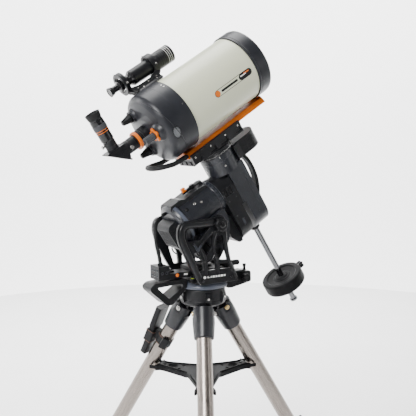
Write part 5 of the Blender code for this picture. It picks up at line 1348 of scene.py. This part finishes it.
# --- what is left of the frame, floor, lights and camera ------------------------------
for cad_node in frame["nodes"].values():
    if not cad_node.hide_render:
        slot_name = next(
            row["material_slot"] for row in frame["record"]["subparts"] if row["node"] == cad_node.name)
        cad_node.data.materials.clear()
        cad_node.data.materials.append(MATERIALS[slot_name])


def stage(name, shape, finish):
    linked(name, finished(name, shape, finish))


# Where the wall turns grey, in degrees round it: painted shade behind the camera. It stands for the unlit
# room and is seen in reflections on the dark and metal parts.
PAINTED_SHADE_MIDDLE, PAINTED_SHADE_HALF, PAINTED_SHADE_FADE = 267.5, 67.5, 20.0  # degrees round the wall


def studio():
    """A wide pale floor that curves up into a round wall, which fades to grey on one side; that grey band is
    painted shade for the unlit side of the room round the camera.
    """
    paper = surface("studio_paper", (0.93, 0.93, 0.93), 0.85, tint=0.01, patch=3, grain=200, bump=0.02)
    stage("studio_floor", turned([(0.0, 0.0), (3.2, 0.0), (3.2, -0.05), (0.0, -0.05)], 96, 0.0), paper)
    wall = surface("studio_wall_paper", (0.93, 0.93, 0.93), 0.85, tint=0.01, patch=3, grain=200, bump=0.02)
    nodes, links = wall.node_tree.nodes, wall.node_tree.links
    shade, ramp = nodes.new("ShaderNodeAttribute"), nodes.new("ShaderNodeValToRGB")
    shade.attribute_name = "shade"
    ramp.color_ramp.elements[0].color = (0.93, 0.93, 0.93, 1.0)
    # The grey end of the ramp is the painted shade.
    ramp.color_ramp.elements[1].color = (0.16, 0.16, 0.16, 1.0)
    links.new(shade.outputs["Fac"], ramp.inputs["Fac"])
    links.new(ramp.outputs["Color"], nodes["Principled BSDF"].inputs["Base Color"])
    curve = [(3.2, 0.0), (3.45, 0.002), (3.7, 0.016), (3.92, 0.055), (4.1, 0.13), (4.25, 0.25), (4.37, 0.42),
        (4.46, 0.64), (4.51, 0.9), (4.55, 3.6)]
    shape = bmesh.new()
    grey = shape.verts.layers.float.new("shade")
    rings = []
    for angle in range(-90, 270, 5):
        along = math.radians(angle)
        rings.append([shape.verts.new((r * math.cos(along), r * math.sin(along), z)) for r, z in curve])
        away = abs((angle - PAINTED_SHADE_MIDDLE + 180.0) % 360.0 - 180.0)
        for vert in rings[-1]:
            vert[grey] = min(1.0, max(0.0, (PAINTED_SHADE_HALF + PAINTED_SHADE_FADE - away) / (2.0 * PAINTED_SHADE_FADE)))
    for one, other in zip(rings, rings[1:] + rings[:1]):
        for step in range(len(curve) - 1):
            shape.faces.new((one[step], one[step + 1], other[step + 1], other[step]))
    bmesh.ops.recalc_face_normals(shape, faces=shape.faces)
    stage("studio_wall", shape, wall)


def light(name, position, target, size, energy):
    lamp = bpy.data.lights.new(name, "AREA")
    lamp.shape = "RECTANGLE"
    lamp.size, lamp.size_y = size
    lamp.energy = energy
    made = linked(name, lamp)
    made.location = position
    made.rotation_euler = (Vector(target) - Vector(position)).to_track_quat("-Z", "Y").to_euler()


studio()
light("key_left", (-2.9, -2.0, 3.0), (0, 0, 0.9), (1.3, 2.2), 255)
light("fill_right", (2.4, -2.8, 1.9), (0, 0, 0.8), (0.5, 2.4), 16)
light("top", (0.2, 0.6, 3.4), (0, 0, 0.8), (2.0, 1.6), 90)
light("back_left", (-2.8, 2.4, 2.4), (0, 0, 0.9), (1.0, 2.4), 70)
light("backdrop", (0.9, 1.5, 3.5), (2.2, 4.2, 0.9), (4.0, 1.2), 460)
sky = bpy.data.worlds.new("studio_sky")
sky.use_nodes = True
sky.node_tree.nodes["Background"].inputs["Color"].default_value = (1.0, 1.0, 1.0, 1.0)
sky.node_tree.nodes["Background"].inputs["Strength"].default_value = 0.3
bpy.context.scene.world = sky

CAMERA_FROM_HEAD = (-1.2001, -1.962, 0.5919)
CAMERA_AIM = (-0.010564, 0.0, 0.955191)
CAMERA_ROLL = -0.0069  # radians
camera = linked("camera", bpy.data.cameras.new("camera"))
camera.data.lens = 60.58
camera.data.sensor_width = 36.0
camera.location = (MAIN_AXIS.x, 0.0, HEAD.translation.z)
camera.location += Vector(CAMERA_FROM_HEAD)
aim = Vector(CAMERA_AIM) - camera.location
camera.rotation_mode = "QUATERNION"
roll = Matrix.Rotation(CAMERA_ROLL, 3, "Z").to_quaternion()
camera.rotation_quaternion = aim.to_track_quat("-Z", "Y") @ roll
bpy.context.scene.camera = camera
